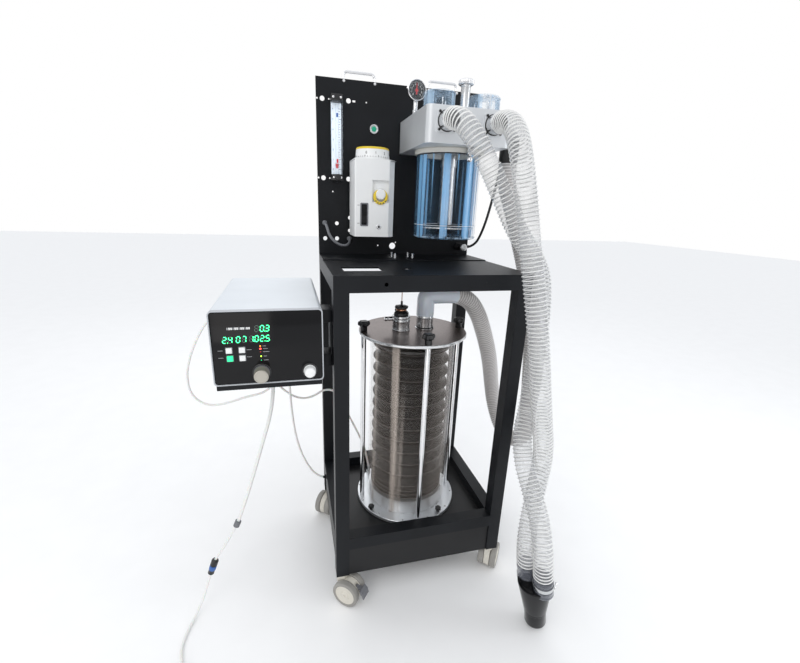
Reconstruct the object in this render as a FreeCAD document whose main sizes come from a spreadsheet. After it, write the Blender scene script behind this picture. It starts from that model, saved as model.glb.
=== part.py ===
import FreeCAD, Part
import math
import os
from types import SimpleNamespace

import Sketcher

Vector = FreeCAD.Vector
Rotation = FreeCAD.Rotation

# Driving dimensions in millimetres. The cart's own frame has its centre on the floor,
# X to the right, Y to the back and Z up; cart_x and cart_y set that centre in the part's frame.
SIZES = {
    "cart_x": 110.85, "cart_y": 15.7,
    # frame of square tube
    "cart_wide": 480.0, "cart_deep": 400.0, "post_side": 35.0, "tube_wall": 2.0,
    "post_foot": 88.0, "shelf_level": 912.0, "sheet": 3.0, "tray_level": 175.0,
    "kick_set_back": 4.0, "kick_sheet": 2.0,
    # back panel
    "panel_high": 471.0, "panel_sheet": 2.5, "panel_foot": 139.5,
    "stud_radius": 4.0, "stud_high": 15.0,
    "handle_rod": 8.0, "handle_span": 86.0, "handle_rise": 23.0,
    "bezel_radius": 13.0, "button_radius": 7.5, "bezel_proud": 6.0,
    # flowmeter
    "meter_x": -187.0, "meter_wide": 30.0, "meter_low": 1138.0, "meter_high": 182.0,
    "meter_front": 160.0, "meter_deep": 25.0, "meter_end": 17.0, "meter_bore": 5.0,
    # vaporizer
    "vap_x": -95.0, "vap_wide": 112.0, "vap_front": 78.0, "vap_deep": 100.0,
    "vap_low": 975.0, "vap_high": 200.0, "dial_radius": 48.0, "dial_high": 31.0,
    # absorber head
    "head_left": -4.0, "head_wide": 218.0, "head_front": -62.0, "head_low": 1204.0,
    "head_high": 82.0, "head_corner": 15.0, "port_left": 44.0, "port_right": 164.0,
    "port_level": 1252.0, "port_radius": 22.5, "port_bore": 19.0, "port_long": 35.0,
    "flange_side": 50.0, "flange_thick": 4.0, "dome_radius": 40.0, "dome_high": 39.0,
    "dome_wall": 4.0, "seat_high": 8.0, "disc_radius": 21.0, "disc_thick": 1.5,
    "apl_x": 105.0, "apl_y": -15.0, "apl_radius": 11.5, "apl_high": 56.0,
    "gauge_x": 4.0, "gauge_y": 58.0, "gauge_level": 1340.0, "gauge_radius": 24.5,
    "gauge_deep": 22.0,
    # absorber canister
    "can_x": 105.0, "can_y": 66.0, "can_radius": 86.0, "can_wall": 5.0, "can_low": 977.0,
    "can_ring_low": 1192.0, "can_ring_radius": 93.0, "core_radius": 20.0, "core_low": 1013.0,
    # bellows housing
    "bell_x": 3.0, "bell_y": -3.0, "base_radius": 152.0, "base_low": 178.0, "base_thick": 12.0,
    "drum_radius": 115.0, "drum_top": 230.0, "glass_radius": 121.0, "glass_wall": 5.0,
    "plate_low": 719.0, "plate_thick": 8.0, "rod_radius": 7.0, "rod_circle": 140.0,
    "bellows_radius": 110.0, "bellows_top": 690.0, "vent_x": 42.0, "vent_y": 8.0,
    "relief_x": -33.0, "relief_y": -8.0, "elbow_level": 822.0, "elbow_radius": 25.0,
    # control unit
    "unit_left": -495.0, "unit_wide": 232.0, "unit_front": -201.0, "unit_deep": 400.0,
    "unit_low": 676.0, "unit_high": 166.0, "unit_wall": 2.0, "unit_corner": 9.0,
    # casters
    "wheel_radius": 37.5, "wheel_wide": 18.0, "wheel_gap": 18.0, "caster_trail": 22.0,
    # hoses and tubes, outer diameters
    "hose_wide": 50.0, "hose_wall": 2.0, "gas_line": 7.5, "drive_line": 9.0, "thin_line": 6.5,
}

RUNNING = 0.05  # radial clearance of a turning shaft
CLEAR = 0.3     # gap between faces that slide past each other
ARC_SHARE = 0.45  # part of the shorter run that a cord's arc takes up
PARTS = "parts"
STEM_RADIUS = 4.0

AXES = {
    "z": Rotation(),
    "x": Rotation(Vector(0, 1, 0), 90),
    "-x": Rotation(Vector(0, 1, 0), -90),
    "y": Rotation(Vector(1, 0, 0), -90),
    "-y": Rotation(Vector(1, 0, 0), 90),
    "-z": Rotation(Vector(1, 0, 0), 180),
    "side": Rotation(Vector(0, 0, 1), 90),
}


class Size:
    """A length that knows its number and the sheet expression it is worked out with."""

    def __init__(self, number, text):
        self.number = number
        self.text = text

    def __add__(self, other):
        other = as_size(other)
        return Size(self.number + other.number, f"({self.text} + {other.text})")

    def __sub__(self, other):
        other = as_size(other)
        return Size(self.number - other.number, f"({self.text} - {other.text})")

    def __mul__(self, factor):
        return Size(self.number * factor, f"({self.text} * {factor})")

    def __truediv__(self, factor):
        return Size(self.number / factor, f"({self.text} / {factor})")

    def __neg__(self):
        return Size(-self.number, f"(0 - {self.text})")

    def __radd__(self, other):
        return as_size(other) + self

    def __rsub__(self, other):
        return as_size(other) - self


def as_size(value):
    if isinstance(value, Size):
        return value
    return Size(float(value), f"({float(value)})" if value < 0 else str(float(value)))


doc = FreeCAD.newDocument("AnesthesiaMachine")
sheet = doc.addObject("Spreadsheet::Sheet", "Sizes")
for row, (alias, number) in enumerate(SIZES.items(), 1):
    sheet.set(f"A{row}", alias)
    sheet.set(f"B{row}", str(number))
    sheet.setAlias(f"B{row}", alias)
doc.recompute()
S = SimpleNamespace(**{alias: Size(number, "Sizes." + alias) for alias, number in SIZES.items()})

bases = {}  # object name -> the three Sizes of its place
nodes = []


# ---------------------------------------------------------------- building blocks

def bind(obj, **lengths):
    """Drive properties of obj by the sheet."""
    for prop, length in lengths.items():
        obj.setExpression(prop, as_size(length).text)


def place(obj, at=(0, 0, 0), rotation=AXES["z"]):
    """Put obj's own origin at a point of the cart's frame."""
    obj.Placement = FreeCAD.Placement(Vector(), rotation)
    bases[obj.Name] = at
    for letter, length in zip("xyz", at):
        obj.setExpression(f"Placement.Base.{letter}", as_size(length).text)
    return obj


def node(name, obj):
    """Register obj as a finished sub-part, moved from the cart's frame to the part's."""
    x, y, z = bases.get(obj.Name, (0, 0, 0))
    obj.Label = name
    bind_place = {"x": S.cart_x + x, "y": S.cart_y + y, "z": as_size(z)}
    for letter, length in bind_place.items():
        obj.setExpression(f"Placement.Base.{letter}", length.text)
    nodes.append(obj)
    return obj


def box(name, dims, at):
    obj = doc.addObject("Part::Box", name)
    bind(obj, Length=dims[0], Width=dims[1], Height=dims[2])
    return place(obj, at)


def rod(name, radius, length, at, axis="z"):
    obj = doc.addObject("Part::Cylinder", name)
    bind(obj, Radius=radius, Height=length)
    return place(obj, at, AXES[axis])


def cut(name, base, *tools):
    """base less every tool."""
    obj = doc.addObject("Part::Cut", name)
    obj.Base = base
    obj.Tool = tools[0] if len(tools) == 1 else fuse(name + "_tools", *tools)
    return place(obj)


def fuse(name, *shapes):
    obj = doc.addObject("Part::MultiFuse", name)
    obj.Shapes = list(shapes)
    return place(obj)


def group(name, shapes):
    """Separate solids kept together in one sub-part."""
    obj = doc.addObject("Part::Compound", name)
    obj.Links = list(shapes)
    return place(obj)


def new_body(name):
    body = doc.addObject("PartDesign::Body", name)
    doc.recompute()
    return body


def origin_plane(body, role):
    return next(item for item in body.Origin.OriginFeatures if item.Role == role)


def hold_point(sketch, geometry, vertex, place_uv):
    """Fix a sketch point by its two sheet-driven distances from the sketch's origin."""
    for kind, length, axis in (("DistanceX", place_uv[0], -2), ("DistanceY", place_uv[1], -1)):
        length = as_size(length)
        if abs(length.number) < 1e-9:
            sketch.addConstraint(Sketcher.Constraint("PointOnObject", geometry, vertex, axis))
            continue
        constraint = Sketcher.Constraint(kind, -1, 1, geometry, vertex, length.number)
        index = sketch.addConstraint(constraint)
        sketch.setExpression(f"Constraints[{index}]", length.text)


def draw(body, plane, outlines=(), circles=()):
    """A sketch of closed straight-sided outlines and of circles (u, v, radius)."""
    sketch = body.newObject("Sketcher::SketchObject", body.Name + "_sketch")
    sketch.AttachmentSupport = (origin_plane(body, plane), [""])
    sketch.MapMode = "FlatFace"
    for outline in outlines:
        first = sketch.GeometryCount
        corners = [Vector(as_size(u).number, as_size(v).number, 0) for u, v in outline]
        count = len(corners)
        for i, corner in enumerate(corners):
            sketch.addGeometry(Part.LineSegment(corner, corners[(i + 1) % count]), False)
        for i in range(count):
            joint = Sketcher.Constraint("Coincident", first + i, 2, first + (i + 1) % count, 1)
            sketch.addConstraint(joint)
        for i, place_uv in enumerate(outline):
            hold_point(sketch, first + i, 1, place_uv)
    for u, v, radius in circles:
        centre = Vector(as_size(u).number, as_size(v).number, 0)
        circle = Part.Circle(centre, Vector(0, 0, 1), as_size(radius).number)
        index = sketch.addGeometry(circle, False)
        hold_point(sketch, index, 3, (u, v))
        held = sketch.addConstraint(Sketcher.Constraint("Radius", index, as_size(radius).number))
        sketch.setExpression(f"Constraints[{held}]", as_size(radius).text)
    return sketch


def turned(name, profile, at=(0, 0, 0), axis="z"):
    """A body of revolution; the profile's points are (radius, height)."""
    body = new_body(name)
    sketch = draw(body, "XZ_Plane", [profile])
    turn = body.newObject("PartDesign::Revolution", name + "_turn")
    turn.Profile = sketch
    turn.ReferenceAxis = (sketch, ["V_Axis"])
    turn.Angle = 360
    return place(body, at, AXES[axis])


def plate(name, outlines, thickness, at=(0, 0, 0), circles=(), plane="XY_Plane", axis="z",
          corner=None):
    """A padded outline with its holes; corner rounds the edges along the pad's direction."""
    body = new_body(name)
    pad = body.newObject("PartDesign::Pad", name + "_pad")
    pad.Profile = draw(body, plane, outlines, circles)
    bind(pad, Length=thickness)
    if corner is not None:
        doc.recompute()
        rounding = body.newObject("PartDesign::Fillet", name + "_corners")
        rounding.Base = (pad, edges_along(pad.Shape, plane))
        bind(rounding, Radius=corner)
    return place(body, at, AXES[axis])


def edges_along(shape, plane):
    """Names of the straight edges that stand square to a sketch plane."""
    normal = Vector(0, 0, 1) if plane == "XY_Plane" else Vector(0, 1, 0)
    names = []
    for number, edge in enumerate(shape.Edges, 1):
        if edge.Curve.TypeId != "Part::GeomLine":
            continue
        along = edge.Curve.Direction
        if abs(along.dot(normal)) > 0.999:
            names.append(f"Edge{number}")
    return names


def rectangle(u, v, width, height):
    return [(u, v), (u + width, v), (u + width, v + height), (u, v + height)]


def ring_of(pattern_centre, radius, angles):
    """Points on a circle about a centre, at the given angles in degrees."""
    x, y = pattern_centre
    return [(x + radius * math.cos(math.radians(angle)), y + radius * math.sin(math.radians(angle)))
            for angle in angles]


# ---------------------------------------------------------------- cart frame and shelf

def bar(name, dims, at):
    """A closed square tube."""
    inset = S.tube_wall
    shell = box(name + "_outside", dims, at)
    inner_dims = [length - inset * 2 for length in dims]
    inner_at = [length + inset for length in at]
    return cut(name, shell, box(name + "_inside", inner_dims, inner_at))


FEED_PORT = (100, 194)   # place along the left tray rail, and height


def make_frame():
    side = S.post_side
    left, front = -S.cart_wide / 2, -S.cart_deep / 2
    right, rear = S.cart_wide / 2 - side, S.cart_deep / 2 - side
    rail_low = S.shelf_level - S.sheet - side
    across, along = S.cart_wide - side * 2, S.cart_deep - side * 2
    bars = []
    for place_x, x in (("left", left), ("right", right)):
        for place_y, y in (("front", front), ("rear", rear)):
            post = bar(f"post_{place_x}_{place_y}", (side, side, rail_low - S.post_foot),
                       (x, y, S.post_foot))
            hole = rod(post.Name + "_hole", STEM_RADIUS + RUNNING, S.tube_wall + 2,
                       (x + side / 2, y + side / 2, S.post_foot - 1))
            bars.append(cut(post.Name + "_drilled", post, hole))
        bars.append(bar(f"top_rail_{place_x}", (side, along, side), (x, front + side, rail_low)))
        tray_at = (x, front + side, S.tray_level)
        bars.append(bar(f"tray_rail_{place_x}", (side, along, side), tray_at))
    for place_y, y in (("front", front), ("rear", rear)):
        top = bar(f"top_rail_{place_y}", (S.cart_wide, side, side), (left, y, rail_low))
        if place_y == "front":
            large = rod("rail_hole_large", 4.5, side + 2, (-123, y - 1, 892), "y")
            small = rod("rail_hole_small", 1.5, side + 2, (118, y - 1, 893), "y")
            top = cut("top_rail_front_drilled", top, large, small)
        bars.append(top)
        tray_at = (left + side, y, S.tray_level)
        bars.append(bar(f"tray_rail_{place_y}", (across, side, side), tray_at))
    bars.append(turned("feed_fitting", [(0, 0), (7, 0), (7, 5), (4, 5), (4, 10), (0, 10)],
                       (left, FEED_PORT[0], FEED_PORT[1]), "-x"))
    node("cart_frame", group("frame_bars", bars))

    holes = [(-48, -96, 11.5), (-55, -166, 2.5), (-192, -162, 2.5), (-199, -191, 2.0),
             (-4, -184, 2.0)]
    outline = rectangle(left, front, S.cart_wide, S.cart_deep)
    window = rectangle(-208, -131, 93, 59)
    node("shelf_top", plate("shelf_sheet", [outline, window], S.sheet,
                            (0, 0, S.shelf_level - S.sheet), holes))

    low, tall = S.post_foot, S.tray_level - S.post_foot
    set_back, thick = S.kick_set_back, S.kick_sheet
    sheets = [
        box("tray_sheet", (across, along, S.sheet), (left + side, front + side, S.tray_level)),
        box("kick_front", (across, thick, tall), (left + side, front + set_back, low)),
        box("kick_rear", (across, thick, tall),
            (left + side, S.cart_deep / 2 - set_back - thick, low)),
        box("kick_left", (thick, along, tall), (left + set_back, front + side, low)),
        box("kick_right", (thick, along, tall),
            (S.cart_wide / 2 - set_back - thick, front + side, low)),
    ]
    node("tray", group("tray_sheets", sheets))


# ---------------------------------------------------------------- back panel and its fittings

PANEL_ROWS = (419, 217)  # heights of the two drilled rows above the shelf
ROW_HOLES = [(-237, 2.5), (-223, 6.5), (-205, 2.0), (-169, 2.0), (-151, 6.5)]
LOOSE_HOLES = [(-101, 419, 2.0), (-197, 181, 2.0), (-186, 92, 5.5), (-147, 109, 5.5),
               (-147, 72, 5.5), (-221, 48, 6.0), (-186, 48, 6.0), (-14, 28, 9.75),
               (-4, 39, 2.0), (-60, 29, 2.0)]
BUTTON = (-79, 353)          # flush button on the panel, above the shelf
JUMPER_BARBS = ((-222, 93), (-149, 48))
HANDLE_LEFTS = (-164, 79)    # left foot of each handle
STUDS = [(-36, 115), (-32, 88), (14, 117), (21, 90)]
OUTLET = (208, 29)


def panel_front():
    return S.cart_deep / 2 - S.panel_sheet


def make_panel():
    width, back = S.cart_wide, S.cart_deep / 2
    outline = rectangle(-width / 2, 0, width, S.panel_high)
    slots = [rectangle(-140, height - 2.5, 8, 5) for height in PANEL_ROWS]
    holes = [(x, height, radius) for height in PANEL_ROWS for x, radius in ROW_HOLES]
    holes += LOOSE_HOLES + [(BUTTON[0], BUTTON[1], S.button_radius + CLEAR)]
    upright = plate("panel_sheet_upright", [outline] + slots, S.panel_sheet,
                    (0, back, S.shelf_level), holes, plane="XZ_Plane")
    foot = box("panel_foot_sheet", (width, S.panel_foot, S.panel_sheet),
               (-width / 2, panel_front() - S.panel_foot, S.shelf_level))
    node("back_panel", fuse("panel_bent", upright, foot))

    fittings = [rod(f"stud_{i}", S.stud_radius, S.stud_high,
                    (x, y, S.shelf_level + S.panel_sheet)) for i, (x, y) in enumerate(STUDS)]
    ring = turned("bezel_ring", [(S.button_radius + CLEAR, 0), (S.bezel_radius, 0),
                                 (S.bezel_radius - 1, S.bezel_proud),
                                 (S.button_radius + CLEAR, S.bezel_proud)],
                  (BUTTON[0], panel_front(), S.shelf_level + BUTTON[1]), "-y")
    fittings.append(ring)
    button = turned("button_turned", [(0, -8), (S.button_radius, -8),
                                      (S.button_radius, S.bezel_proud - 2),
                                      (S.button_radius - 1.5, S.bezel_proud - 1),
                                      (0, S.bezel_proud - 1)],
                    (BUTTON[0], panel_front(), S.shelf_level + BUTTON[1]), "-y")
    node("flush_button", button)

    for i, (x, height) in enumerate(JUMPER_BARBS):
        at = (x, panel_front(), S.shelf_level + height)
        fittings.append(turned(f"jumper_barb_{i}", [(0, 0), (7, 0), (7, 5), (4.5, 5),
                                                   (4.5, 16), (0, 16)], at, "-y"))

    x, height = OUTLET
    at = (x, panel_front(), S.shelf_level + height)
    outlet = turned("outlet_turned", [(0, 0), (14, 0), (14, 6), (11, 6), (11, 47), (0, 47)],
                    at, "-y")
    spout = rod("outlet_spout", 5, 22, (x, 160, S.shelf_level + height + 3), "x")
    fittings.append(fuse("outlet_joined", outlet, spout))
    node("panel_fittings", group("fittings_of_panel", fittings))


def make_handles():
    """Two bent rods standing on the panel's back, with a screw head at each foot in front."""
    top = S.shelf_level.number + S.panel_high.number
    radius = S.handle_rod.number / 2
    y = S.cart_deep.number / 2 + radius
    handles = []
    heads = []
    for i, left in enumerate(HANDLE_LEFTS):
        right = left + S.handle_span.number
        peak = top + S.handle_rise.number - radius
        points = [Vector(left, y, top - 22), Vector(left, y, peak), Vector(right, y, peak),
                  Vector(right, y, top - 22)]
        obj = doc.addObject("Part::Feature", f"handle_{i}")
        obj.Shape = pipe(bent_path(points, 10), radius)
        handles.append(place(obj))
        for j, x in enumerate((left, right)):
            at = (x, panel_front(), S.shelf_level + S.panel_high - 5)
            heads.append(turned(f"handle_screw_{i}_{j}", [(0, 0), (4.5, 0), (3.5, 2.6), (0, 3)],
                                at, "-y"))
    node("panel_handles", group("handles", handles + heads))


# ---------------------------------------------------------------- flowmeter

def shaft_knob(name, at, axis, head, shaft):
    """A knob whose shaft runs in its housing; head and shaft are (radius, length) pairs."""
    head_radius, head_long = head
    shaft_radius, shaft_long = shaft
    profile = [(0, -shaft_long), (shaft_radius, -shaft_long), (shaft_radius, CLEAR),
               (head_radius, CLEAR), (head_radius, CLEAR + head_long * 0.8),
               (head_radius - 1.2, CLEAR + head_long), (0, CLEAR + head_long)]
    return node(name, turned(name + "_turned", profile, at, axis))


def shaft_bore(name, at, axis, shaft):
    """The bore that such a shaft runs in, a little deeper than the shaft is long."""
    shaft_radius, shaft_long = shaft
    return turned(name, [(0, -shaft_long - 1), (shaft_radius + RUNNING, -shaft_long - 1),
                         (shaft_radius + RUNNING, 1), (0, 1)], at, axis)


METER_SHAFT = (3.0, 14.0)


def make_flowmeter():
    left = S.meter_x - S.meter_wide / 2
    top = S.meter_low + S.meter_high
    bore_y = S.meter_front + 9
    block = box("meter_block", (S.meter_wide, S.meter_deep, S.meter_high),
                (left, S.meter_front, S.meter_low))
    bore = rod("meter_bore_tool", S.meter_bore, S.meter_high, (S.meter_x, bore_y, S.meter_low))
    node("flowmeter_tube", cut("meter_bored", block, bore))

    end_front = S.meter_front - 3
    end_deep = panel_front() - end_front
    knob_at = (S.meter_x, end_front, S.meter_low - S.meter_end / 2)
    lower = box("meter_end_lower", (S.meter_wide, end_deep, S.meter_end),
                (left, end_front, S.meter_low - S.meter_end))
    upper = box("meter_end_upper", (S.meter_wide, end_deep, S.meter_end), (left, end_front, top))
    lower = cut("meter_end_bored", lower,
                shaft_bore("meter_knob_bore", knob_at, "-y", METER_SHAFT))
    scale = box("meter_scale", (S.meter_wide, 2, S.meter_high),
                (left, S.meter_front + S.meter_deep, S.meter_low))
    node("flowmeter_ends", fuse("meter_mount", lower, scale, upper))
    shaft_knob("flowmeter_knob", knob_at, "-y", (9.0, 13.0), METER_SHAFT)

    float_radius = S.meter_bore - 0.5
    profile = [(0, 0), (float_radius - 1.5, 0), (float_radius, 8), (float_radius, 12), (0, 12)]
    node("flowmeter_float", turned("meter_float", profile,
                                   (S.meter_x, bore_y, S.meter_low + 16)))


# ---------------------------------------------------------------- vaporizer

DIAL_SHAFT = (6.0, 18.0)
FILLER_SHAFT = (4.0, 12.0)


def make_vaporizer():
    left, right = S.vap_x - S.vap_wide / 2, S.vap_x + S.vap_wide / 2
    front, back = S.vap_front, S.vap_front + S.vap_deep
    top = S.vap_low + S.vap_high
    chamfer = 18
    plan = [(left, front), (right - chamfer, front), (right, front + chamfer), (right, back),
            (left, back)]
    body = plate("vap_case", [plan], S.vap_high, (0, 0, S.vap_low), corner=4)
    dial_at = (S.vap_x, front + 50, top)
    filler_at = (S.vap_x + 14, front + 9, S.vap_low + 112)
    recess = box("vap_recess", (46, 10, 56), (S.vap_x - 8, front - 1, S.vap_low + 92))
    body = cut("vap_case_bored", body, recess,
               shaft_bore("vap_dial_bore", dial_at, "z", DIAL_SHAFT),
               shaft_bore("vap_filler_bore", filler_at, "-y", FILLER_SHAFT))
    bar_deep = panel_front() - back
    hanger = box("vap_bar", (80, bar_deep, 40), (S.vap_x - 40, back, top - 90))
    node("vaporizer_body", fuse("vap_on_bar", body, hanger))
    shaft_knob("vaporizer_dial", dial_at, "z", (S.dial_radius.number, S.dial_high.number),
               DIAL_SHAFT)
    shaft_knob("vaporizer_filler", filler_at, "-y", (15.0, 16.0), FILLER_SHAFT)


# ---------------------------------------------------------------- absorber head

LATCH_X = 119
LATCH_PIN = (LATCH_X, -38, 1196)
APL_SHAFT = (3.0, 18.0)
NEEDLE_SHAFT = (1.0, 3.0)
CORNERS = ((-1, -1), (-1, 1), (1, -1), (1, 1))


def make_head():
    low, top = S.head_low, S.head_low + S.head_high
    deep = panel_front() - S.head_front
    outline = rectangle(S.head_left, S.head_front, S.head_wide, deep)
    block = plate("head_block", [outline], S.head_high, (0, 0, low), corner=S.head_corner)
    bores = []
    for side, x in (("left", S.port_left), ("right", S.port_right)):
        bores.append(rod(f"port_bore_{side}", S.port_bore, 82, (x, S.head_front - 1,
                                                               S.port_level), "y"))
        bores.append(rod(f"valve_bore_{side}", 15, 40, (x, 0, top - 39)))
    node("absorber_block", cut("head_bored", block, *bores))

    fittings = []
    domes = []
    for side, x in (("left", S.port_left), ("right", S.port_right)):
        fittings += [hose_port(side, x), valve_seat(side, x, top)]
        domes.append(valve_dome(side, x, top))
        node(f"valve_disc_{side}", rod(f"valve_disc_plate_{side}", S.disc_radius, S.disc_thick,
                                       (x, 0, top + S.seat_high)))
    cover = rod("gauge_glass_disc", S.gauge_radius - 2, 1.5,
                (S.gauge_x, S.gauge_y, S.gauge_level), "y")
    node("clear_covers", group("domes_and_glass", domes + [cover]))

    apl_at = (S.apl_x, S.apl_y, top + S.apl_high)
    column = rod("apl_column_rod", S.apl_radius, S.apl_high, (S.apl_x, S.apl_y, top))
    fittings.append(cut("apl_column_bored", column,
                        shaft_bore("apl_bore", apl_at, "z", APL_SHAFT)))
    shaft_knob("apl_knob", apl_at, "z", (19.0, 12.0), APL_SHAFT)

    ears = [box(f"latch_ear_{x}", (3, 14, 18), (x, -45, low - 18)) for x in (111, 124)]
    pin_hole = rod("latch_pin_hole", 2 + RUNNING, 20, (109, LATCH_PIN[1], LATCH_PIN[2]), "x")
    fittings += [cut(ear.Name + "_drilled", ear, pin_hole) for ear in ears]
    pin = rod("latch_pin", 2, 16, (111, LATCH_PIN[1], LATCH_PIN[2]), "x")
    arm = box("latch_arm", (7, 6, 18), (LATCH_X - 3.5, -41, 1181))
    ball = doc.addObject("Part::Sphere", "latch_ball")
    ball.Radius = 7.5
    place(ball, (LATCH_X, -40, 1176))
    node("canister_latch", fuse("latch_joined", pin, arm, ball))

    right = S.head_left + S.head_wide
    elbow = [Vector(right.number, 20, 1240), Vector(258, 20, 1240), Vector(258, 20, 1180)]
    fittings.append(hollow_pipe("side_elbow_pipe", elbow, S.elbow_radius.number, 3, 27))
    fittings.append(turned("gas_inlet", [(0, 0), (8, 0), (8, 5), (5, 5), (5, 12), (0, 12)],
                           (right, 66, 1232), "x"))
    fittings.append(turned("can_ring", [(72, 0), (S.can_ring_radius, 0),
                                        (S.can_ring_radius, low - S.can_ring_low),
                                        (72, low - S.can_ring_low)],
                           (S.can_x, S.can_y, S.can_ring_low)))
    fittings += canister_insides()
    node("head_fittings", group("fittings_of_head", fittings))


def hose_port(side, x):
    """A square flange with its hose sleeve and four screws."""
    half = S.flange_side / 2
    flange = plate(f"port_flange_{side}", [rectangle(-half, -half, S.flange_side, S.flange_side)],
                   S.flange_thick, (x, S.head_front, S.port_level), [(0, 0, S.port_bore)],
                   axis="-y", corner=5)
    face = S.head_front - S.flange_thick
    profile = [(S.port_bore, 0), (S.port_radius, 0), (S.port_radius, S.port_long - 4),
               (S.port_radius - 1, S.port_long - 4), (S.port_radius - 1, S.port_long),
               (S.port_bore, S.port_long)]
    sleeve = turned(f"port_sleeve_{side}", profile, (x, S.head_front, S.port_level), "-y")
    screws = [rod(f"port_screw_{side}_{i}", 3, 2.5,
                  (x + 19 * across, face, S.port_level + 19 * up), "-y")
              for i, (across, up) in enumerate(CORNERS)]
    return fuse(f"port_joined_{side}", flange, sleeve, *screws)


def valve_seat(side, x, top):
    """The seat of a one-way valve with the three pins that guide its loose disc."""
    seat = turned(f"valve_seat_ring_{side}", [(16, 0), (26, 0), (26, 3), (22, S.seat_high),
                                              (16, S.seat_high)], (x, 0, top))
    pins = [rod(f"valve_pin_{side}_{i}", 1.5, 12, (px, py, top + 3))
            for i, (px, py) in enumerate(ring_of((x, 0), 24, (30, 150, 270)))]
    return fuse(f"valve_seat_joined_{side}", seat, *pins)


def valve_dome(side, x, top):
    """The clear dome over a one-way valve."""
    inner = S.dome_radius - S.dome_wall
    profile = [(inner, 0), (S.dome_radius, 0), (S.dome_radius, S.dome_high - 3),
               (S.dome_radius - 3, S.dome_high), (0, S.dome_high), (0, S.dome_high - S.dome_wall),
               (inner, S.dome_high - S.dome_wall)]
    return turned(f"valve_dome_{side}", profile, (x, 0, top))


def make_gauge():
    """The airway pressure gauge on its stem, with its needle."""
    centre = (S.gauge_x, S.gauge_y, S.gauge_level)
    radius, deep = S.gauge_radius, S.gauge_deep
    case = turned("gauge_cup", [(0, -deep), (radius, -deep), (radius, 0), (radius - 2, 0),
                                (radius - 2, -6), (0, -6)], centre, "-y")
    top = S.head_low + S.head_high
    stem = rod("gauge_stem", 6, S.gauge_level - top - 18,
               (S.gauge_x, S.gauge_y + deep / 2, top))
    dial_at = (S.gauge_x, S.gauge_y + 6, S.gauge_level)
    joined = fuse("gauge_joined", case, stem)
    node("gauge_case", cut("gauge_bored", joined,
                           shaft_bore("gauge_bore", dial_at, "-y", NEEDLE_SHAFT)))
    hub = turned("needle_hub", [(0, -NEEDLE_SHAFT[1]), (NEEDLE_SHAFT[0], -NEEDLE_SHAFT[1]),
                                (NEEDLE_SHAFT[0], CLEAR), (3, CLEAR), (3, 2), (0, 2)],
                 dial_at, "-y")
    hand = plate("needle_hand", [[(-1.2, -6), (1.2, -6), (0.4, 18), (-0.4, 18)]], 0.8,
                 (S.gauge_x, S.gauge_y + 5.2, S.gauge_level), axis="-y")
    node("gauge_needle", fuse("needle_joined", hub, hand))


def canister_insides():
    """The tube down the middle of the absorbent and the screen that the absorbent lies on."""
    core_high = S.head_low - S.core_low
    core = [(S.core_radius - 3, 0), (S.core_radius, 0), (S.core_radius, core_high - 36),
            (S.core_radius + 2, core_high - 36), (S.core_radius + 2, core_high),
            (S.core_radius - 3, core_high)]
    inner = S.can_radius - S.can_wall
    screen = [(5, 0), (inner, 0), (inner, 3), (5, 3)]
    return [turned("can_core", core, (S.can_x, S.can_y, S.core_low)),
            turned("can_screen", screen, (S.can_x, S.can_y, S.can_low + 27))]


def make_canister():
    centre = (S.can_x, S.can_y)
    high = S.can_ring_low - S.can_low
    inner = S.can_radius - S.can_wall
    node("canister_cup", turned("can_cup", [(0, 0), (S.can_radius - 3, 0), (S.can_radius, 3),
                                            (S.can_radius, high), (inner, high), (inner, 8),
                                            (0, 8)], centre + (S.can_low,)))


# ---------------------------------------------------------------- bellows housing

ROD_ANGLES = (0, 90, 180, 270)
HOLD_DOWNS = [(-122, -77), (72, -126), (128, 71), (-66, 120)]


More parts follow.
